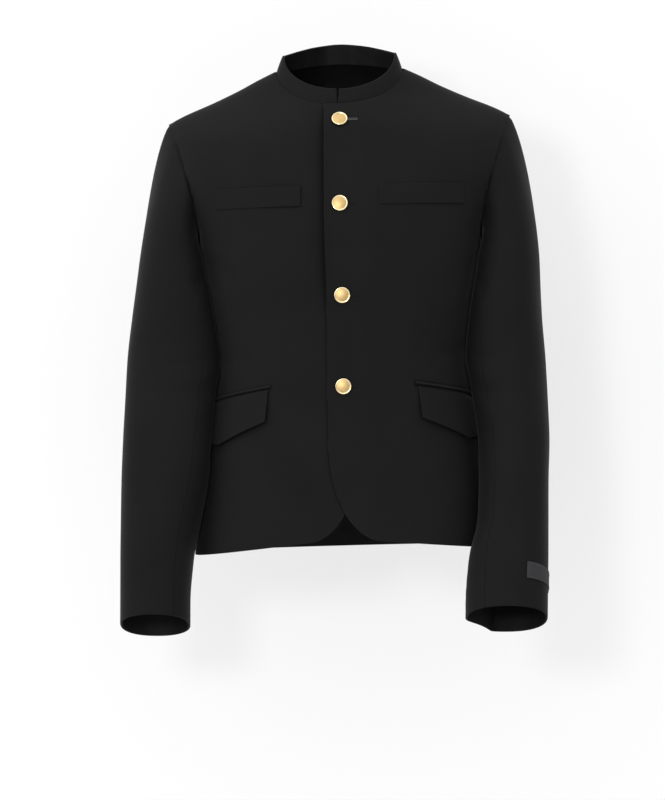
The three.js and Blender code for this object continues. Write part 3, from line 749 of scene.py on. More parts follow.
def back_form():
    paths = body_paths("back")

    def surface(u, v):
        share = 1 - 2 * u
        points = panel_point("back", np.abs(share), to_level(v))
        return points * np.stack([np.sign(share + 1e-12), np.ones_like(u), np.ones_like(u)], axis=-1)

    def place(points):
        held = points.copy()
        held[..., 1] = np.maximum(held[..., 1], SIDE_SEAM / 2)
        return stand(1, held)

    return wall(
        surface,
        divided(2 * SHOULDER_HALF),
        panel_rows(),
        CLOTH,
        lambda points, u, v: relief(points, paths) * smoothstep(np.minimum(u, 1 - u), 0, 0.05),
        place,
        edges=(SEAM_EDGE, SEAM_EDGE, TURNED_EDGE, SEAM_EDGE),
        inner_edges=(0, 0, TURNED_EDGE, 0),
    )


# Collar
def neck_point(angle):
    x = NECK_HALF * np.sin(angle)
    turn = np.cos(angle)
    edge = np.where(turn > 0, -FRONT_NECK_DROP * turn, BACK_NECK_RISE * turn**2)
    front, back = body_point("front", np.abs(x), edge), body_point("back", np.abs(x), edge)
    point = np.where((turn > 0)[..., None], front, back)
    point[..., 0] = x
    return point


def collar_form():
    reach = NOTCH_REACH / (2 * math.pi)

    def surface(u, v):
        gap = lerp(NOTCH["base"], NOTCH["top"], np.clip((v - NOTCH["from"]) / (1 - NOTCH["from"]), 0, 1))
        start = np.arcsin((NOTCH["x"] + gap) / NECK_HALF) * np.maximum(0, 1 - u / reach)
        end = np.arcsin((NOTCH["x"] - gap) / NECK_HALF) * np.maximum(0, 1 - (1 - u) / reach)
        angle = 2 * math.pi * u + start + end
        turn = np.cos(angle)
        rise = lerp(COLLAR["side"], np.where(turn > 0, COLLAR["front"], COLLAR["back"]), turn**2)
        base = neck_point(angle)
        x = lerp(COLLAR["inset"], COLLAR["top_half"] / NECK_HALF, v) * base[..., 0]
        y = lerp(COLLAR["inset"], COLLAR["top_depth"], v) * base[..., 1]
        return np.stack([x, y, base[..., 2] - COLLAR["tuck"] + v * (rise + COLLAR["tuck"])], axis=-1)

    edge = COLLAR["wall"] / 2 - THINNEST
    return wall(
        surface,
        divided(COLLAR["round"], step=2.5),
        divided(COLLAR["high"], step=1.6),
        COLLAR["wall"],
        lambda points, u, v: COLLAR["belly"] * np.sin(math.pi * v),
        lambda points: stand(1, points),
        edges=(edge, edge, SEAM_EDGE, edge),
        inner_edges=(edge, edge, 0, edge),
    )


# Sleeves: their points are worked out with x pointing outward from the body on both sides
def arm_side(arm, points):
    return points * np.array([arm["side"], 1, 1])


LOOP_STEP = 0.002


def arm_loop(arm, angle):
    """The armhole at an angle round the sleeve: its point, outward normal and the way out past its edge."""
    turn = angle % 360
    in_front = turn <= 180
    share = np.where(in_front, 1 - turn / 180, turn / 180 - 1)
    level = np.clip(share, LOOP_STEP, 1 - LOOP_STEP)

    def edge(face, at, inset=0.0):
        return arm_side(arm, stand(arm["side"], panel_point(face, np.full_like(at, 1 - inset), at)))

    def on(face, hand):
        point = edge(face, share)
        up = unit(edge(face, level + LOOP_STEP) - edge(face, level - LOOP_STEP))
        across = edge(face, level) - edge(face, level, LOOP_STEP)
        normal = unit(np.cross(across, up) * hand)
        return point, normal, unit(np.cross(up, normal) * hand)

    front, back = on("front", 1), on("back", -1)
    return [np.where(in_front[..., None], f, b) for f, b in zip(front, back)]


def keep_clear(arm, points, weight):
    """Moves sleeve points out until they are clear of the body's side."""
    x, y, z = points[..., 0], points[..., 1], points[..., 2]
    level = z - STANCE_DROP * arm["side"] * half_width(z)
    depth = np.where(y < 0, section_depth["front"](level), section_depth["back"](level))
    forward = np.minimum(1, np.abs(y) / depth)
    reach = half_width(level) * (1 - forward**BODY_SQUARENESS) ** (1 / BODY_SQUARENESS)
    least = reach + arm["side"] * lean_at(level) + clearance(level)
    apart = np.clip(x - least, -SOFT_TOUCH, SOFT_TOUCH)
    clear = np.maximum(x, least) + (SOFT_TOUCH - np.abs(apart)) ** 2 / (4 * SOFT_TOUCH)
    return np.stack([lerp(x, clear, weight), y, z], axis=-1)


def ring_point(arm, angle, z):
    """A point of the arm's own tube, by degrees from its outer edge over the front, and by height."""
    ring = arm["curves"]
    power = 2 / ARM_SQUARENESS
    cosine, sine = np.cos(np.radians(angle)), np.sin(np.radians(angle))
    outward = np.sign(cosine) * np.abs(cosine) ** power
    forward = np.sign(sine) * np.abs(sine) ** power
    x = (ring["outer"](z) + ring["inner"](z)) / 2 + (ring["outer"](z) - ring["inner"](z)) / 2 * outward
    ahead = ring["depth"](z) * forward
    rise = np.tan(np.radians(ring["slope"](z))) * ahead
    return np.stack(np.broadcast_arrays(x, ring["middle"](z) - ahead, z + rise), axis=-1)


def sleeve_point(arm, angle, travel):
    """The sleeve's outer face: travel 0 is the armhole, 1 is the biceps ring and 2 is the cuff."""
    top, cuff = arm["rings"]["z"][0], arm["rings"]["z"][-1]
    under = (1 - np.cos(np.radians(angle))) / 2
    arm_part = keep_clear(arm, ring_point(arm, angle, lerp(top, cuff, np.clip(travel - 1, 0, 1))), 1)
    t = np.clip(travel, 0, 1)[..., None]
    start, normal, away = arm_loop(arm, angle)
    start = start + away * SLEEVE_SET_IN + normal * (CAP["under"]["lift"] * under)[..., None]
    level_top = np.full_like(angle, top)
    end = ring_point(arm, angle, level_top)
    chord = np.linalg.norm(end - start, axis=-1, keepdims=True)
    swell = CAP["swell"] * np.sin(np.radians(angle))
    out = lerp(CAP["over"]["out"], CAP["under"]["out"], under)
    down = lerp(CAP["over"]["down"], CAP["under"]["down"], under)
    leave = unit(np.stack([out, -swell, -down], axis=-1)) * CAP["leave"] * chord
    arrive = unit(ring_point(arm, angle, level_top - BICEPS_STEP) - end) * CAP["arrive"] * chord
    cap_part = hermite(start, leave, end, arrive, t)
    weight = smoothstep(travel, 0, 0.5) * smoothstep(under, CAP["clear_from"], CAP["clear_to"])
    cap_part = keep_clear(arm, cap_part, weight)
    return np.where((travel >= 1)[..., None], arm_part, cap_part)


def sleeve_rows(arm):
    length = arm["rings"]["z"][0] - arm["rings"]["z"][-1]
    cap = divided(CAP["length"], True, False, step=3) / 2
    lower = divided(length, False, True) / 2 + 0.5
    return np.concatenate([cap, lower[1:]])


def sleeve_form(arm, name, start, end, width):
    paths = sleeve_paths(arm, name)

    def angle_at(u):
        return lerp(start + SLEEVE_SEAM / 2, end - SLEEVE_SEAM / 2, u)

    def lift(points, u, v):
        near_cuff = smoothstep(1 - v, 0, 0.04)
        outward = smoothstep(v, 0.02, 0.12)
        folds = relief(points, paths) * near_cuff * outward
        inner_side = smoothstep(-np.cos(np.radians(angle_at(u))), 0.55, 0.95)
        seam = seam_dip(v * 2 * CAP["length"], points[..., 2]) * (1 - 0.7 * inner_side)
        return np.where(folds > 0, folds * (1 - inner_side), folds * (1 - 0.6 * inner_side)) + seam

    def turned(normal, u, v):
        _, loop_normal, _ = arm_loop(arm, angle_at(u))
        own = smoothstep(v * 2 * CAP["length"], 0, CAP["edge_turn"])[..., None]
        return unit(lerp(loop_normal, normal, own))

    return wall(
        lambda u, v: sleeve_point(arm, angle_at(u), v * 2),
        divided(width),
        sleeve_rows(arm),
        CLOTH,
        lift,
        lambda points: arm_side(arm, points),
        edges=(SEAM_EDGE, SEAM_EDGE, SEAM_EDGE, TURNED_EDGE),
        inner_edges=(0, 0, 0, TURNED_EDGE),
        runs_on=True,
        turned=turned,
    )


# Pockets
def round_body(x, z, distance):
    """The x that lies a distance further round the body's horizontal section."""
    half, depth = half_width(z), section_depth["front"](z)
    power = 2 / BODY_SQUARENESS
    angles = np.radians(np.arange(0, 90.01, 0.25))
    across = half[..., None] * np.sin(angles) ** power
    ahead = depth[..., None] * np.cos(angles) ** power
    steps = np.hypot(np.diff(across), np.diff(ahead))
    length = np.concatenate([np.zeros_like(across[..., :1]), np.cumsum(steps, axis=-1)], axis=-1)
    flat_across, flat_length = across.reshape(-1, len(angles)), length.reshape(-1, len(angles))
    wanted = distance.ravel() + [np.interp(x, a, s) for a, s in zip(flat_across, flat_length)]
    found = [np.interp(w, s, a) for w, s, a in zip(wanted, flat_length, flat_across)]
    return np.array(found).reshape(np.shape(z))


def pocket_point(along, down):
    """A point of the pocket: along its slanted mouth, and down from it."""
    slope, lean = math.radians(FLAP["slope"]), math.radians(FLAP["lean"])
    distance = along * math.cos(slope) + down * math.sin(lean)
    z = FLAP["z"] - along * math.sin(slope) - down * math.cos(lean)
    return body_point("front", round_body(FLAP["x"], z, distance), z)


def flap_depth(along):
    """How far the flap hangs at a place along the mouth: deepest at its point."""
    point, length = FLAP["point_at"], FLAP["length"]
    inner = lerp(FLAP["inner_depth"], FLAP["point_depth"], along / point)
    outer = lerp(FLAP["point_depth"], FLAP["outer_depth"], (along - point) / (length - point))
    return np.where(along < point, inner, outer)


def patch_form(at, columns, rows, thickness, side, lift, edges):
    """A piece laid on a front, made from the front's own points."""

    def raised(points, u, v):
        x, z = points[..., 0], points[..., 2]
        real = points * np.array([side, 1, 1])
        base = lap_lift(side, x) + ON_CLOTH + thickness + relief(real, body_paths("front"))
        return base + lift(u, v)

    return wall(at, columns, rows, thickness, raised, lambda points: stand(side, points), edges=edges)


# The right welt is pressed flat towards its outer end, and the left one towards its inner end
WELT_LOOKS = {
    -1: {"tilt": 0.7, "end": 0.0, "pressed_in": 0.3, "pressed_out": 1.2},
    1: {"tilt": 0.0, "end": 0.6, "pressed_in": 1.2, "pressed_out": 0.7},
}


def welt_form(side):
    """A chest welt: sewn down along its foot and ends, its folded top edge a little open."""
    looks = WELT_LOOKS[side]
    width, height = WELT["outer"] - WELT["inner"], WELT["top"] - WELT["bottom"]

    def lift(u, v):
        body_of_welt = np.minimum(smoothstep(u * width, 0, 3), smoothstep((1 - u) * width, 0, 3))
        open_top = smoothstep(v, 0.35, 1) * body_of_welt
        pressed = lerp(looks["pressed_in"], looks["pressed_out"], smoothstep(u, 0.3, 0.6))
        return looks["tilt"] * (1 - u) * v + looks["end"] * u * (1 - v) + 0.35 * open_top - pressed

    def at(u, v):
        x, z = lerp(WELT["inner"], WELT["outer"], u), lerp(WELT["bottom"], WELT["top"], v)
        return body_point("front", x, z)

    columns, rows = divided(width, step=3), divided(height, step=2)
    return patch_form(at, columns, rows, WELT["wall"], side, lift, edges=(0.8, 0.8, 0.8, 0.85))


def flap_form(side):
    """A pocket flap: held in the mouth at its top and a little free at its pointed foot."""
    length = FLAP["length"]
    point = FLAP["point_at"] / length

    def at(u, v):
        return pocket_point(u * length, (1 - v) * flap_depth(u * length))

    def lift(u, v):
        free = FLAP["lift_bottom"] * (1 - v) ** FLAP["lift_curve"] * (1 - u**2)
        ripple = 0.5 * np.sin(u * 9 + 0.6) * (1 - v) ** 2 * smoothstep(u, 0, 0.2) * smoothstep(1 - u, 0, 0.2)
        into_mouth = -FLAP_DIPS[side]["by"] * smoothstep(v, FLAP_DIPS[side]["from"], 1)
        belly = 0.5 * np.sin(math.pi * v) * np.sin(math.pi * u)
        return free + ripple + into_mouth + belly

    columns = divided(length, step=2.4)
    columns[np.argmin(np.abs(columns - point))] = point
    rows = divided(FLAP["grid_depth"], step=2)
    return patch_form(at, columns, rows, FLAP["wall"], side, lift, edges=(0.9, 0.9, 0.9, 0.7))


def jet_form(side):
    """The piped upper edge of the pocket's mouth."""
    start, end = -JET["overrun"], FLAP["length"] + JET["overrun"]
    low, high = -JET["gap"], -JET["gap"] - JET["height"] + JET["tuck"]

    def at(u, v):
        return pocket_point(lerp(start, end, u), lerp(low, high, v))

    def lift(u, v):
        return 0.3 * np.sin(math.pi * v)

    columns, rows = divided(end - start, step=3), divided(JET["height"] - JET["tuck"], step=0.8)
    return patch_form(at, columns, rows, JET["wall"], side, lift, edges=(0.7,) * 4)


def skin(rings, flat, ends=None):
    """A closed form over a row of rings. ends holds the middles of its two caps, and without them the row
    closes on itself."""
    count, sides = rings.shape[:2]
    last = count if ends is None else count - 1
    row = np.arange(last)[:, None] * sides
    following = (np.arange(last) + 1)[:, None] % count * sides
    i, j = np.arange(sides), (np.arange(sides) + 1) % sides
    faces = np.stack([row + i, following + i, following + j, row + j], axis=-1).reshape(-1, 4)
    points = rings.reshape(-1, 3)
    if ends is None:
        return {"points": points, "faces": faces, "flat": flat}
    middle, tip = count * sides, (count - 1) * sides
    caps = []
    for k in range(0, sides, 2):
        after, then = k + 1, (k + 2) % sides
        caps.append((middle, k, after, then))
        caps.append((tip + then, tip + after, tip + k, middle + 1))
    return {
        "points": np.concatenate([points, ends]),
        "faces": np.concatenate([faces, np.array(caps)]),
        "flat": np.concatenate([flat, np.zeros((2, 2))]),
    }


# Buttons stand on the over front at the centre line
def way_out(x, z, step):
    """The direction out of the body's front."""
    across = body_point("front", x + step, z) - body_point("front", x - step, z)
    up = body_point("front", x, z + step) - body_point("front", x, z - step)
    return unit(np.cross(across, up))


def button_seat(z):
    """Where a button stands: its foot, and its directions right, out and up as columns."""
    base, normal = body_point("front", 0.0, z), way_out(0.0, z, 1)
    foot = stand(1, base + normal * LAP_LIFT)
    out = unit(stand(1, base + normal * (LAP_LIFT + 1)) - foot)
    right = unit(np.array([1.0, 0, 0]) - out * out[0])
    return foot, np.stack([right, out, np.cross(right, out)], axis=1)


BUTTON_PROFILE = table(
    "radius height",
    (1.5, -2.2),
    (1.5, 0.75),
    (8.6, 0.8),
    (9.5, 1.0),
    (10.0, 1.4),
    (10.15, 1.9),
    (10.05, 2.35),
    (9.75, 2.72),
    (9.35, 2.88),
    (8.95, 2.8),
    (8.62, 2.55),
    (8.4, 2.32),
    (8.15, 2.28),
    (7.8, 2.36),
    (7.0, 2.62),
    (5.6, 3.0),
    (4.0, 3.3),
    (2.2, 3.5),
    (0.9, 3.58),
    (0.25, 3.6),
)
BUTTON_TURNS = 72


def button_form(seat):
    radius, height = BUTTON_PROFILE["radius"], BUTTON_PROFILE["height"]
    angles = np.arange(BUTTON_TURNS) * 2 * math.pi / BUTTON_TURNS
    heights = np.repeat(height[:, None], BUTTON_TURNS, axis=1)
    rings = np.stack([radius[:, None] * np.cos(angles), heights, radius[:, None] * np.sin(angles)], axis=-1)
    flat = np.stack([np.repeat(radius, BUTTON_TURNS), np.tile(np.degrees(angles), len(radius))], axis=1)
    form = skin(rings, flat, np.array([[0, height[0], 0], [0, height[-1], 0]]))
    foot, directions = seat
    form["points"] = form["points"] @ directions.T + foot
    return form


def tube(path, radius_in, radius_out, ways, closed, sides=8):
    """A flattened tube along a path. ways gives the direction out of the cloth at each point."""
    path = np.asarray(path, float)
    run = np.roll(path, -1, 0) - np.roll(path, 1, 0) if closed else np.gradient(path, axis=0)
    run = unit(run)
    ways = unit(ways - run * np.sum(ways * run, axis=1, keepdims=True))
    beside = np.cross(run, ways)
    angles = np.arange(sides) * 2 * math.pi / sides
    ring = path[:, None] + beside[:, None] * (radius_in * np.cos(angles))[None, :, None]
    ring = ring + ways[:, None] * (radius_out * np.sin(angles))[None, :, None]
    lengths = np.repeat(lengths_along(path), sides)
    flat = np.stack([lengths, np.tile(np.degrees(angles), len(path))], axis=1)
    return skin(ring, flat, None if closed else path[[0, -1]])


BUTTONHOLE = {"to": 21.5, "half": 0.85, "eyelet": 2.9, "thread_wide": 0.62, "thread_high": 0.55, "above": 0.1}


def on_over_front(x, z, above):
    """Points on the over front's face in the standing pose, and the way out of the cloth there."""
    points, out = body_point("front", x, z), way_out(x, z, 0.5)
    height = lap_lift(1, x) + lap_opening(x, z) + relief(points, body_paths("front")) + above
    return stand(1, points + out * height[:, None]), out


def buttonhole_form(z):
    """A worked keyhole buttonhole: a raised thread edge round its slit and eyelet."""
    half, eyelet = BUTTONHOLE["half"], BUTTONHOLE["eyelet"]
    meet = math.asin(half / eyelet)
    ring = np.linspace(meet, 2 * math.pi - meet, 22)
    slit = np.linspace(eyelet * math.cos(meet), BUTTONHOLE["to"], 22)[1:]
    turn = np.linspace(-math.pi / 2, math.pi / 2, 7)[1:-1]
    x = np.concatenate([eyelet * np.cos(ring), slit, BUTTONHOLE["to"] + half * np.cos(turn), slit[::-1]])
    rise = np.concatenate([eyelet * np.sin(ring), -half + 0 * slit, half * np.sin(turn), half + 0 * slit])
    path, out = on_over_front(x, z + rise, BUTTONHOLE["above"])
    return tube(path, BUTTONHOLE["thread_wide"], BUTTONHOLE["thread_high"], out, closed=True)


# Label
def label_surface(arm):
    top, cuff = arm["rings"]["z"][0], arm["rings"]["z"][-1]

    def surface(u, v):
        height = lerp(LABEL["high"], LABEL["low"], v)
        travel = 1 + (cuff + height - top) / (cuff - top)
        return sleeve_point(arm, lerp(LABEL["from"], LABEL["to"], u), travel)

    return surface


def label_form(arm):
    def lift(points, u, v):
        pucker = 0.18 * np.sin(u * 60) * (np.abs(v - 0.5) * 2) ** 4
        return ON_CLOTH + LABEL["wall"] + pucker

    return wall(
        label_surface(arm),
        divided(LABEL["round"], step=0.9),
        divided(LABEL["high"] - LABEL["low"], step=0.9),
        LABEL["wall"],
        lift,
        lambda points: arm_side(arm, points),
        edges=(0.25,) * 4,
    )


LABEL_STITCH = {"inset": 0.045, "inset_up": 0.1, "length": 1.9, "gap": 0.9, "radius": 0.26, "above": 0.08}
STITCH_ARCH = np.array([-0.25, 0.05, 0.12, 0.05, -0.25])


def label_stitches(arm):
    """A line of small stitches round the label, just inside its edge."""
    surface = label_surface(arm)
    low, high = LABEL_STITCH["inset"], 1 - LABEL_STITCH["inset"]
    below, above = LABEL_STITCH["inset_up"], 1 - LABEL_STITCH["inset_up"]
    corners = [(low, below), (high, below), (high, above), (low, above), (low, below)]
    forms = []
    for (u0, v0), (u1, v1) in zip(corners, corners[1:]):
        t = np.linspace(0, 1, 200)
        u, v = lerp(u0, u1, t), lerp(v0, v1, t)
        line = surface(u, v)
        normal = normals(surface, u, v, True)
        line = line + normal * (ON_CLOTH + LABEL["wall"] + LABEL_STITCH["above"])
        length = lengths_along(line)
        pitch = LABEL_STITCH["length"] + LABEL_STITCH["gap"]
        count = int(length[-1] // pitch)
        spare = (length[-1] - count * pitch + LABEL_STITCH["gap"]) / 2
        for i in range(count):
            at = spare + i * pitch + np.linspace(0, LABEL_STITCH["length"], len(STITCH_ARCH))
            path = np.stack([np.interp(at, length, line[:, k]) for k in range(3)], axis=1)
            ways = np.stack([np.interp(at, length, normal[:, k]) for k in range(3)], axis=1)
            path = path + ways * STITCH_ARCH[:, None]
            radius = LABEL_STITCH["radius"]
            forms.append(tube(path, radius, radius * 0.8, ways, closed=False, sides=6))
    made = joined(forms)
    made["points"] = arm_side(arm, made["points"])
    return made


# Materials
TWILL_PITCH = 1.1  # millimetres from one diagonal rib to the next
WAVE_TURN = 0.6283  # a wave texture of this scale repeats once each unit
# Shade painted into the wool's colour by how open a place is, and in metres how far away other cloth still
# counts
SHADE = {"darkest": 0.12, "shut": 0.3, "open": 0.92}
SHADE_REACH = 0.05
SLEEVE_SHADE_REACH = 0.13  # a sleeve's inner side hangs beside the body


def new_material(name):
    """A new material, its node tree and its shader."""
    material = bpy.data.materials.new(name)
    material.use_nodes = True
    tree = material.node_tree
    return material, tree, next(node for node in tree.nodes if node.type == "BSDF_PRINCIPLED")


def feed(tree, node, inputs):
    """Sets inputs of a node: each to a value, or by a link to another node's output."""
    for name, value in inputs.items():
        if isinstance(value, bpy.types.NodeSocket):
            tree.links.new(value, node.inputs[name])
        else:
            node.inputs[name].default_value = value


def add_node(tree, kind, inputs, **settings):
    node = tree.nodes.new(kind)
    for name, value in settings.items():
        setattr(node, name, value)
    feed(tree, node, inputs)
    return node


def weave_coordinates(tree):
    """The cloth's own lengths round and up, in millimetres."""
    source = add_node(tree, "ShaderNodeUVMap", {}, uv_map="weave").outputs["UV"]
    scaled = add_node(tree, "ShaderNodeMapping", {"Vector": source, "Scale": (1000, 1000, 1000)})
    return scaled.outputs["Vector"]


def object_coordinates(tree):
    return add_node(tree, "ShaderNodeTexCoord", {}).outputs["Object"]


def noise(tree, where, scale, detail, roughness=0.5):
    inputs = {"Vector": where, "Scale": scale, "Detail": detail, "Roughness": roughness}
    return add_node(tree, "ShaderNodeTexNoise", inputs).outputs["Fac"]


def bands(tree, where, pitch, direction, inputs=None):
    """Even bands across the cloth, at a pitch in millimetres."""
    inputs = {"Vector": where, "Scale": WAVE_TURN / pitch, **(inputs or {})}
    return add_node(tree, "ShaderNodeTexWave", inputs, bands_direction=direction).outputs["Fac"]


def combined(tree, kind, *values):
    return add_node(tree, "ShaderNodeMath", dict(enumerate(values)), operation=kind).outputs[0]


def ranged(tree, value, inputs, **settings):
    return add_node(tree, "ShaderNodeMapRange", {"Value": value, **inputs}, **settings).outputs["Result"]


def toned(tree, value, *ends):
    """A colour between two: each end is its place on the ramp and its colour."""
    node = add_node(tree, "ShaderNodeValToRGB", {"Fac": value})
    for element, (position, colour) in zip(node.color_ramp.elements, ends):
        element.position = position
        element.color = (*colour, 1)
    return node.outputs["Color"]


def bumped(tree, height, strength, distance):
    inputs = {"Height": height, "Strength": strength, "Distance": distance}
    return add_node(tree, "ShaderNodeBump", inputs).outputs["Normal"]


def with_painted_shade(tree, colour, reach):
    """The colour with painted shade: darker where other cloth is near, as in seams and beside the arms."""
    near = add_node(tree, "ShaderNodeAmbientOcclusion", {"Distance": reach}, samples=12).outputs["AO"]
    spread = {"From Min": SHADE["shut"], "From Max": SHADE["open"], "To Min": SHADE["darkest"], "To Max": 1.0}
    inputs = {0: colour, "Scale": ranged(tree, near, spread)}
    return add_node(tree, "ShaderNodeVectorMath", inputs, operation="SCALE").outputs["Vector"]


def wool(name, reach):
    """Fine wool twill: diagonal ribs, yarns that vary along their length, a soft nap, and painted shade where
    other cloth is near.
    """
    material, tree, shader = new_material(name)
    where, place = weave_coordinates(tree), object_coordinates(tree)
    uneven = {"Distortion": 0.6, "Detail": 1.0, "Detail Scale": 1.5}
    ribs = combined(tree, "MULTIPLY", bands(tree, where, TWILL_PITCH, "DIAGONAL", uneven), 0.25)
    yarn = noise(tree, where, 0.9, 3.0, 0.6)
    nap = combined(tree, "MULTIPLY", noise(tree, place, 9.0, 4.0, 0.55), 0.35)
    weave = combined(tree, "ADD", combined(tree, "MULTIPLY", yarn, 0.4), ribs)
    tone = combined(tree, "ADD", weave, nap)
    colour = toned(tree, tone, (0.3, (0.0049, 0.0049, 0.005)), (0.7, (0.0077, 0.0077, 0.0078)))
    height = combined(tree, "ADD", ribs, combined(tree, "MULTIPLY", yarn, 0.5))
    patches = noise(tree, place, 16.0, 2.0)
    look = {
        # the base colour carries painted shade, darker wherever other cloth is near
        "Base Color": with_painted_shade(tree, colour, reach),
        "Roughness": ranged(tree, patches, {"To Min": 0.8, "To Max": 0.92}),
        "Normal": bumped(tree, height, 0.5, 0.00012),
        "Specular IOR Level": 0.12,
        "Sheen Weight": 0.07,
        "Sheen Roughness": 0.38,
        "Sheen Tint": (0.78, 0.78, 0.79, 1),
    }
    feed(tree, shader, look)
    return material


def lining(name):
    """Plain satin inside the jacket."""
    material, tree, shader = new_material(name)
    where = weave_coordinates(tree)
    soft = noise(tree, where, 0.06, 3.0)
    colour = toned(tree, soft, (0.3, (0.0035, 0.0035, 0.004)), (0.7, (0.006, 0.006, 0.007)))
    normal = bumped(tree, bands(tree, where, 0.6, "X", {"Distortion": 0.8}), 0.2, 0.00005)
    feed(tree, shader, {"Base Color": colour, "Normal": normal, "Roughness": 0.6, "Specular IOR Level": 0.1})
    return material


def gilt(name):
    """Satin gilt: a polished rim coloured paler as a painted highlight, and a finely brushed centre with
    faint handling marks.
    """
    material, tree, shader = new_material(name)
    place = object_coordinates(tree)
    radius = add_node(tree, "ShaderNodeSeparateXYZ", {"Vector": weave_coordinates(tree)}).outputs["X"]
    grain, worn = noise(tree, place, 900.0, 3.0, 0.6), noise(tree, place, 160.0, 4.0, 0.6)
    rim = ranged(tree, radius, {"From Min": 7.9, "From Max": 8.7}, interpolation_type="SMOOTHSTEP")
    marks = combined(tree, "MULTIPLY_ADD", worn, 0.14, 0.43)
    roughness = combined(tree, "ADD", marks, combined(tree, "MULTIPLY", rim, -0.3))
    centre = toned(tree, worn, (0.25, (0.52, 0.36, 0.155)), (0.75, (0.66, 0.48, 0.22)))
    # the rim's paler gold is a painted highlight; its lower roughness is real polish
    # a mix node takes its share as input 0 and its colours as 6 and 7, and gives the colour as output 2
    colour_with_painted_rim_highlight = add_node(tree, "ShaderNodeMix", {0: rim, 6: centre, 7: (0.90, 0.76, 0.46, 1)}, data_type="RGBA")
    normal = bumped(tree, grain, 0.35, 0.00006)
    look = {"Base Color": colour_with_painted_rim_highlight.outputs[2], "Roughness": roughness, "Normal": normal, "Metallic": 1.0}
    feed(tree, shader, look)
    return material


def woven_label(name):
    """Dense woven tape with fine ribs."""
    material, tree, shader = new_material(name)
    where = weave_coordinates(tree)
    ribs = bands(tree, where, 0.8, "Y", {"Distortion": 0.4})
    tone = combined(tree, "MULTIPLY", combined(tree, "ADD", ribs, noise(tree, where, 1.4, 3.0)), 0.5)
    colour = toned(tree, tone, (0.2, (0.017, 0.017, 0.0185)), (0.8, (0.034, 0.034, 0.0365)))
    normal = bumped(tree, ribs, 0.6, 0.0001)
    feed(tree, shader, {"Base Color": colour, "Normal": normal, "Roughness": 0.75, "Specular IOR Level": 0.3})
    return material


def thread(name, dark, light):
    """Twisted sewing thread, seen as fine slanting strands."""
    material, tree, shader = new_material(name)
    strands = bands(tree, weave_coordinates(tree), 0.9, "X")
    colour = toned(tree, strands, (0.2, dark), (0.8, light))
    normal = bumped(tree, strands, 0.7, 0.00015)
    feed(tree, shader, {"Base Color": colour, "Normal": normal, "Roughness": 0.6, "Specular IOR Level": 0.2})
    return material


# Studio
CAMERA = {"place": (-0.00975, -4.2, -0.4295), "lens": 145.4, "sensor": 36}
WALL = {"y": 0.31, "half": 4.0, "top": 3.0}
FLOOR = {"z": -1.42, "half": 9.0}
KEY_LIGHT = {"place": (-0.85, -3.6, 0.1), "aim": (0.0, 0.0, -0.33), "size": 0.55, "power": 40}
SKY = {"towards": (-0.6, 0.0, 0.8), "bright": 1.7, "dim": 0.32, "from": -0.5, "to": 0.75}


def camera():
    data = bpy.data.cameras.new("camera")
    data.lens = CAMERA["lens"]
    data.sensor_width = CAMERA["sensor"]
    made = placed("camera", data)
    made.location = CAMERA["place"]
    made.rotation_euler = (math.pi / 2, 0, 0)
    bpy.context.scene.camera = made


def key_light():
    data = bpy.data.lights.new("key", "AREA")
    data.shape = "DISK"
    data.size = KEY_LIGHT["size"]
    data.energy = KEY_LIGHT["power"]
    made = placed("key", data)
    made.location = KEY_LIGHT["place"]
    towards = Vector(KEY_LIGHT["aim"]) - Vector(KEY_LIGHT["place"])
    made.rotation_euler = towards.to_track_quat("-Z", "Y").to_euler()


def stage_plane(name, corners, material):
    mesh = bpy.data.meshes.new(name)
    mesh.from_pydata(corners, [], [(0, 1, 2, 3)])
    mesh.materials.append(material)
    placed(name, mesh)


def stage_material(name, mottle, dark, light, look):
    """A faintly mottled surface, which is clear when it is looked at from behind."""
    material, tree, shader = new_material(name)
    grain = add_node(tree, "ShaderNodeTexNoise", mottle).outputs["Fac"]
    feed(tree, shader, {"Base Color": toned(tree, grain, (0.3, dark), (0.7, light)), **look})
    behind = add_node(tree, "ShaderNodeNewGeometry", {}).outputs["Backfacing"]
    clear = add_node(tree, "ShaderNodeBsdfTransparent", {}).outputs["BSDF"]
    choose = add_node(tree, "ShaderNodeMixShader", {"Fac": behind, 1: shader.outputs["BSDF"], 2: clear})
    output = next(node for node in tree.nodes if node.type == "OUTPUT_MATERIAL")
    feed(tree, output, {"Surface": choose.outputs["Shader"]})
    return material


def backdrop_paper():
    """Pale paper that glows a little, as if lit through."""
    look = {
        "Roughness": 1.0,
        "Specular IOR Level": 0.0,
        "Emission Color": (1.0, 0.992, 0.998, 1),
        "Emission Strength": 0.6,
    }
    dark, light = (0.355, 0.353, 0.355), (0.365, 0.363, 0.365)
    return stage_material("backdrop", {"Scale": 3.0, "Detail": 2.0}, dark, light, look)


def floor_paint():
    dark, light = (0.54, 0.535, 0.535), (0.58, 0.575, 0.575)
    look = {"Roughness": 0.9, "Specular IOR Level": 0.1}
    return stage_material("floor", {"Scale": 2.0, "Detail": 3.0}, dark, light, look)


def sky(scene):
    """Light from all round, brightest from above and to the wearer's right."""
    scene.world = bpy.data.worlds.new("studio")
    scene.world.use_nodes = True
    tree = scene.world.node_tree
    where = add_node(tree, "ShaderNodeTexCoord", {}).outputs["Generated"]
    inputs = {0: where, 1: SKY["towards"]}
    towards = add_node(tree, "ShaderNodeVectorMath", inputs, operation="DOT_PRODUCT").outputs["Value"]
    spread = {"From Min": SKY["from"], "From Max": SKY["to"], "To Min": SKY["dim"], "To Max": SKY["bright"]}
    look = {"Color": (1.0, 0.995, 1.0, 1), "Strength": ranged(tree, towards, spread)}
    feed(tree, tree.nodes["Background"], look)


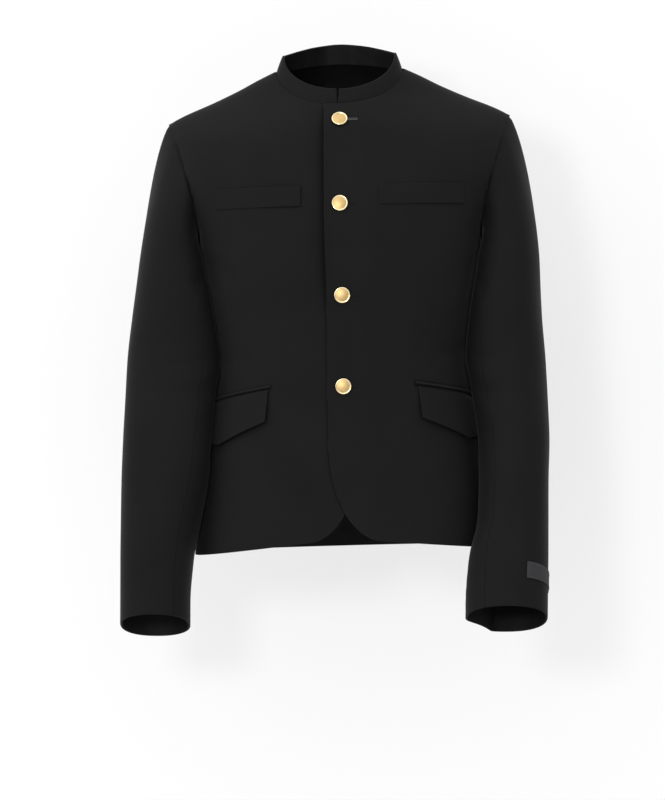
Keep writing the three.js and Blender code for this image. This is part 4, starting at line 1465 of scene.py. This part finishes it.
def studio():
    scene = bpy.context.scene
    scene.view_settings.view_transform = "Standard"
    half, y, low, top = WALL["half"], WALL["y"], FLOOR["z"], WALL["top"]
    corners = [(-half, y, low), (half, y, low), (half, y, top), (-half, y, top)]
    stage_plane("backdrop", corners, backdrop_paper())
    half = FLOOR["half"]
    corners = [(-half, -half, low), (half, -half, low), (half, half, low), (-half, half, low)]
    stage_plane("floor", corners, floor_paint())
    key_light()
    sky(scene)


# Every cut piece: its flat size that shows (width, length) and area in metres, how it is held, and on what
def cut_size(flat, area, held, rests_on):
    return {"flat": flat, "area": area, "held": held, "rests_on": [rests_on]}


SLEEVE_AREAS = {"right": {"top": 0.13, "under": 0.067}, "left": {"top": 0.134, "under": 0.072}}
CUTS = {
    "back": cut_size((0.54, 0.66), 0.308, "hung", "collar"),
    "collar": cut_size((0.48, 0.026), 0.0108, "stretched", "back"),
    "sleeve_label": cut_size((0.062, 0.023), 0.0014, "laid", "sleeve_left_top"),
}
for side_name, areas in SLEEVE_AREAS.items():
    front = f"front_{side_name}"
    CUTS[front] = cut_size((0.28, 0.63), 0.154, "hung", "back")
    CUTS[f"sleeve_{side_name}_top"] = cut_size((0.26, 0.66), areas["top"], "hung", front)
    CUTS[f"sleeve_{side_name}_under"] = cut_size((0.18, 0.56), areas["under"], "hung", front)
    CUTS[f"chest_welt_{side_name}"] = cut_size((0.12, 0.03), 0.0031, "laid", front)
    CUTS[f"flap_{side_name}"] = cut_size((0.13, 0.06), 0.0065, "hung", front)
    CUTS[f"jet_{side_name}"] = cut_size((0.135, 0.012), 0.0009, "laid", front)


def add_piece(name, form, materials, node=None, cut=None):
    made = mesh_object(name, form, materials)
    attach(made, "root")
    if node:
        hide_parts(node)
    if cut:
        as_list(cut["rests_on"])
    return made


def cloth_piece(node, form, materials):
    return add_piece(node + "_cloth", form, materials, node, CUTS[node])


camera()
studio()

for arm in ARMS.values():
    rings = arm["rings"]
    arm["curves"] = {name: curve(rings, "z", name) for name in rings if name != "z"}

black_wool = wool("black_wool", SHADE_REACH)
# the sleeves get a copy of the wool whose painted shade reaches further, darkening their inner sides beside
# the body
sleeve_wool_deeper_painted_shade = wool("sleeve_wool_deeper_painted_shade", SLEEVE_SHADE_REACH)
satin = lining("satin_lining")
gold = gilt("satin_gilt")
tape = woven_label("label_tape")
hole_thread = thread("buttonhole_thread", (0.0035, 0.0035, 0.004), (0.0065, 0.0065, 0.007))
# the top buttonhole's thread is painted lighter as a painted sheen; the others keep the near-black thread
top_thread_painted_sheen = thread("top_buttonhole_thread_painted_sheen", (0.04, 0.04, 0.042), (0.1, 0.1, 0.104))
label_thread = thread("label_thread", (0.05, 0.05, 0.053), (0.10, 0.10, 0.105))
two_sided = [black_wool, satin]
sleeve_sides = [sleeve_wool_deeper_painted_shade, satin]

for number, height in enumerate(BUTTON_HEIGHTS, 1):
    seat = button_seat(height)
    add_piece(f"button_{number}_gilt", button_form(seat), [gold], f"button_{number}")
    # the top buttonhole takes the thread with the painted sheen
    worked = top_thread_painted_sheen if number == 1 else hole_thread
    hole = add_piece(f"buttonhole_{number}", buttonhole_form(height), [worked])

cloth_piece("front_right", front_form(-1), two_sided)
cloth_piece("front_left", front_form(1), two_sided)
cloth_piece("back", back_form(), two_sided)
cloth_piece("collar", collar_form(), two_sided)
for name, arm in ARMS.items():
    top_form = sleeve_form(arm, name, BACK_SEAM - 360, FRONT_SEAM, SLEEVE_WIDTHS["top"])
    under_form = sleeve_form(arm, name, FRONT_SEAM, BACK_SEAM, SLEEVE_WIDTHS["under"])
    cloth_piece(f"sleeve_{name}_top", top_form, sleeve_sides)
    cloth_piece(f"sleeve_{name}_under", under_form, sleeve_sides)
    cloth_piece(f"chest_welt_{name}", welt_form(arm["side"]), [black_wool])
    cloth_piece(f"flap_{name}", flap_form(arm["side"]), [black_wool])
    cloth_piece(f"jet_{name}", jet_form(arm["side"]), [black_wool])

stitches = add_piece("label_stitches", label_stitches(ARMS["left"]), [label_thread])
cloth_piece("sleeve_label", label_form(ARMS["left"]), [tape])

for name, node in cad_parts.items():
    node.data.materials.clear()
    node.data.materials.append(gold if name.startswith("button") else tape if "label" in name else black_wool)
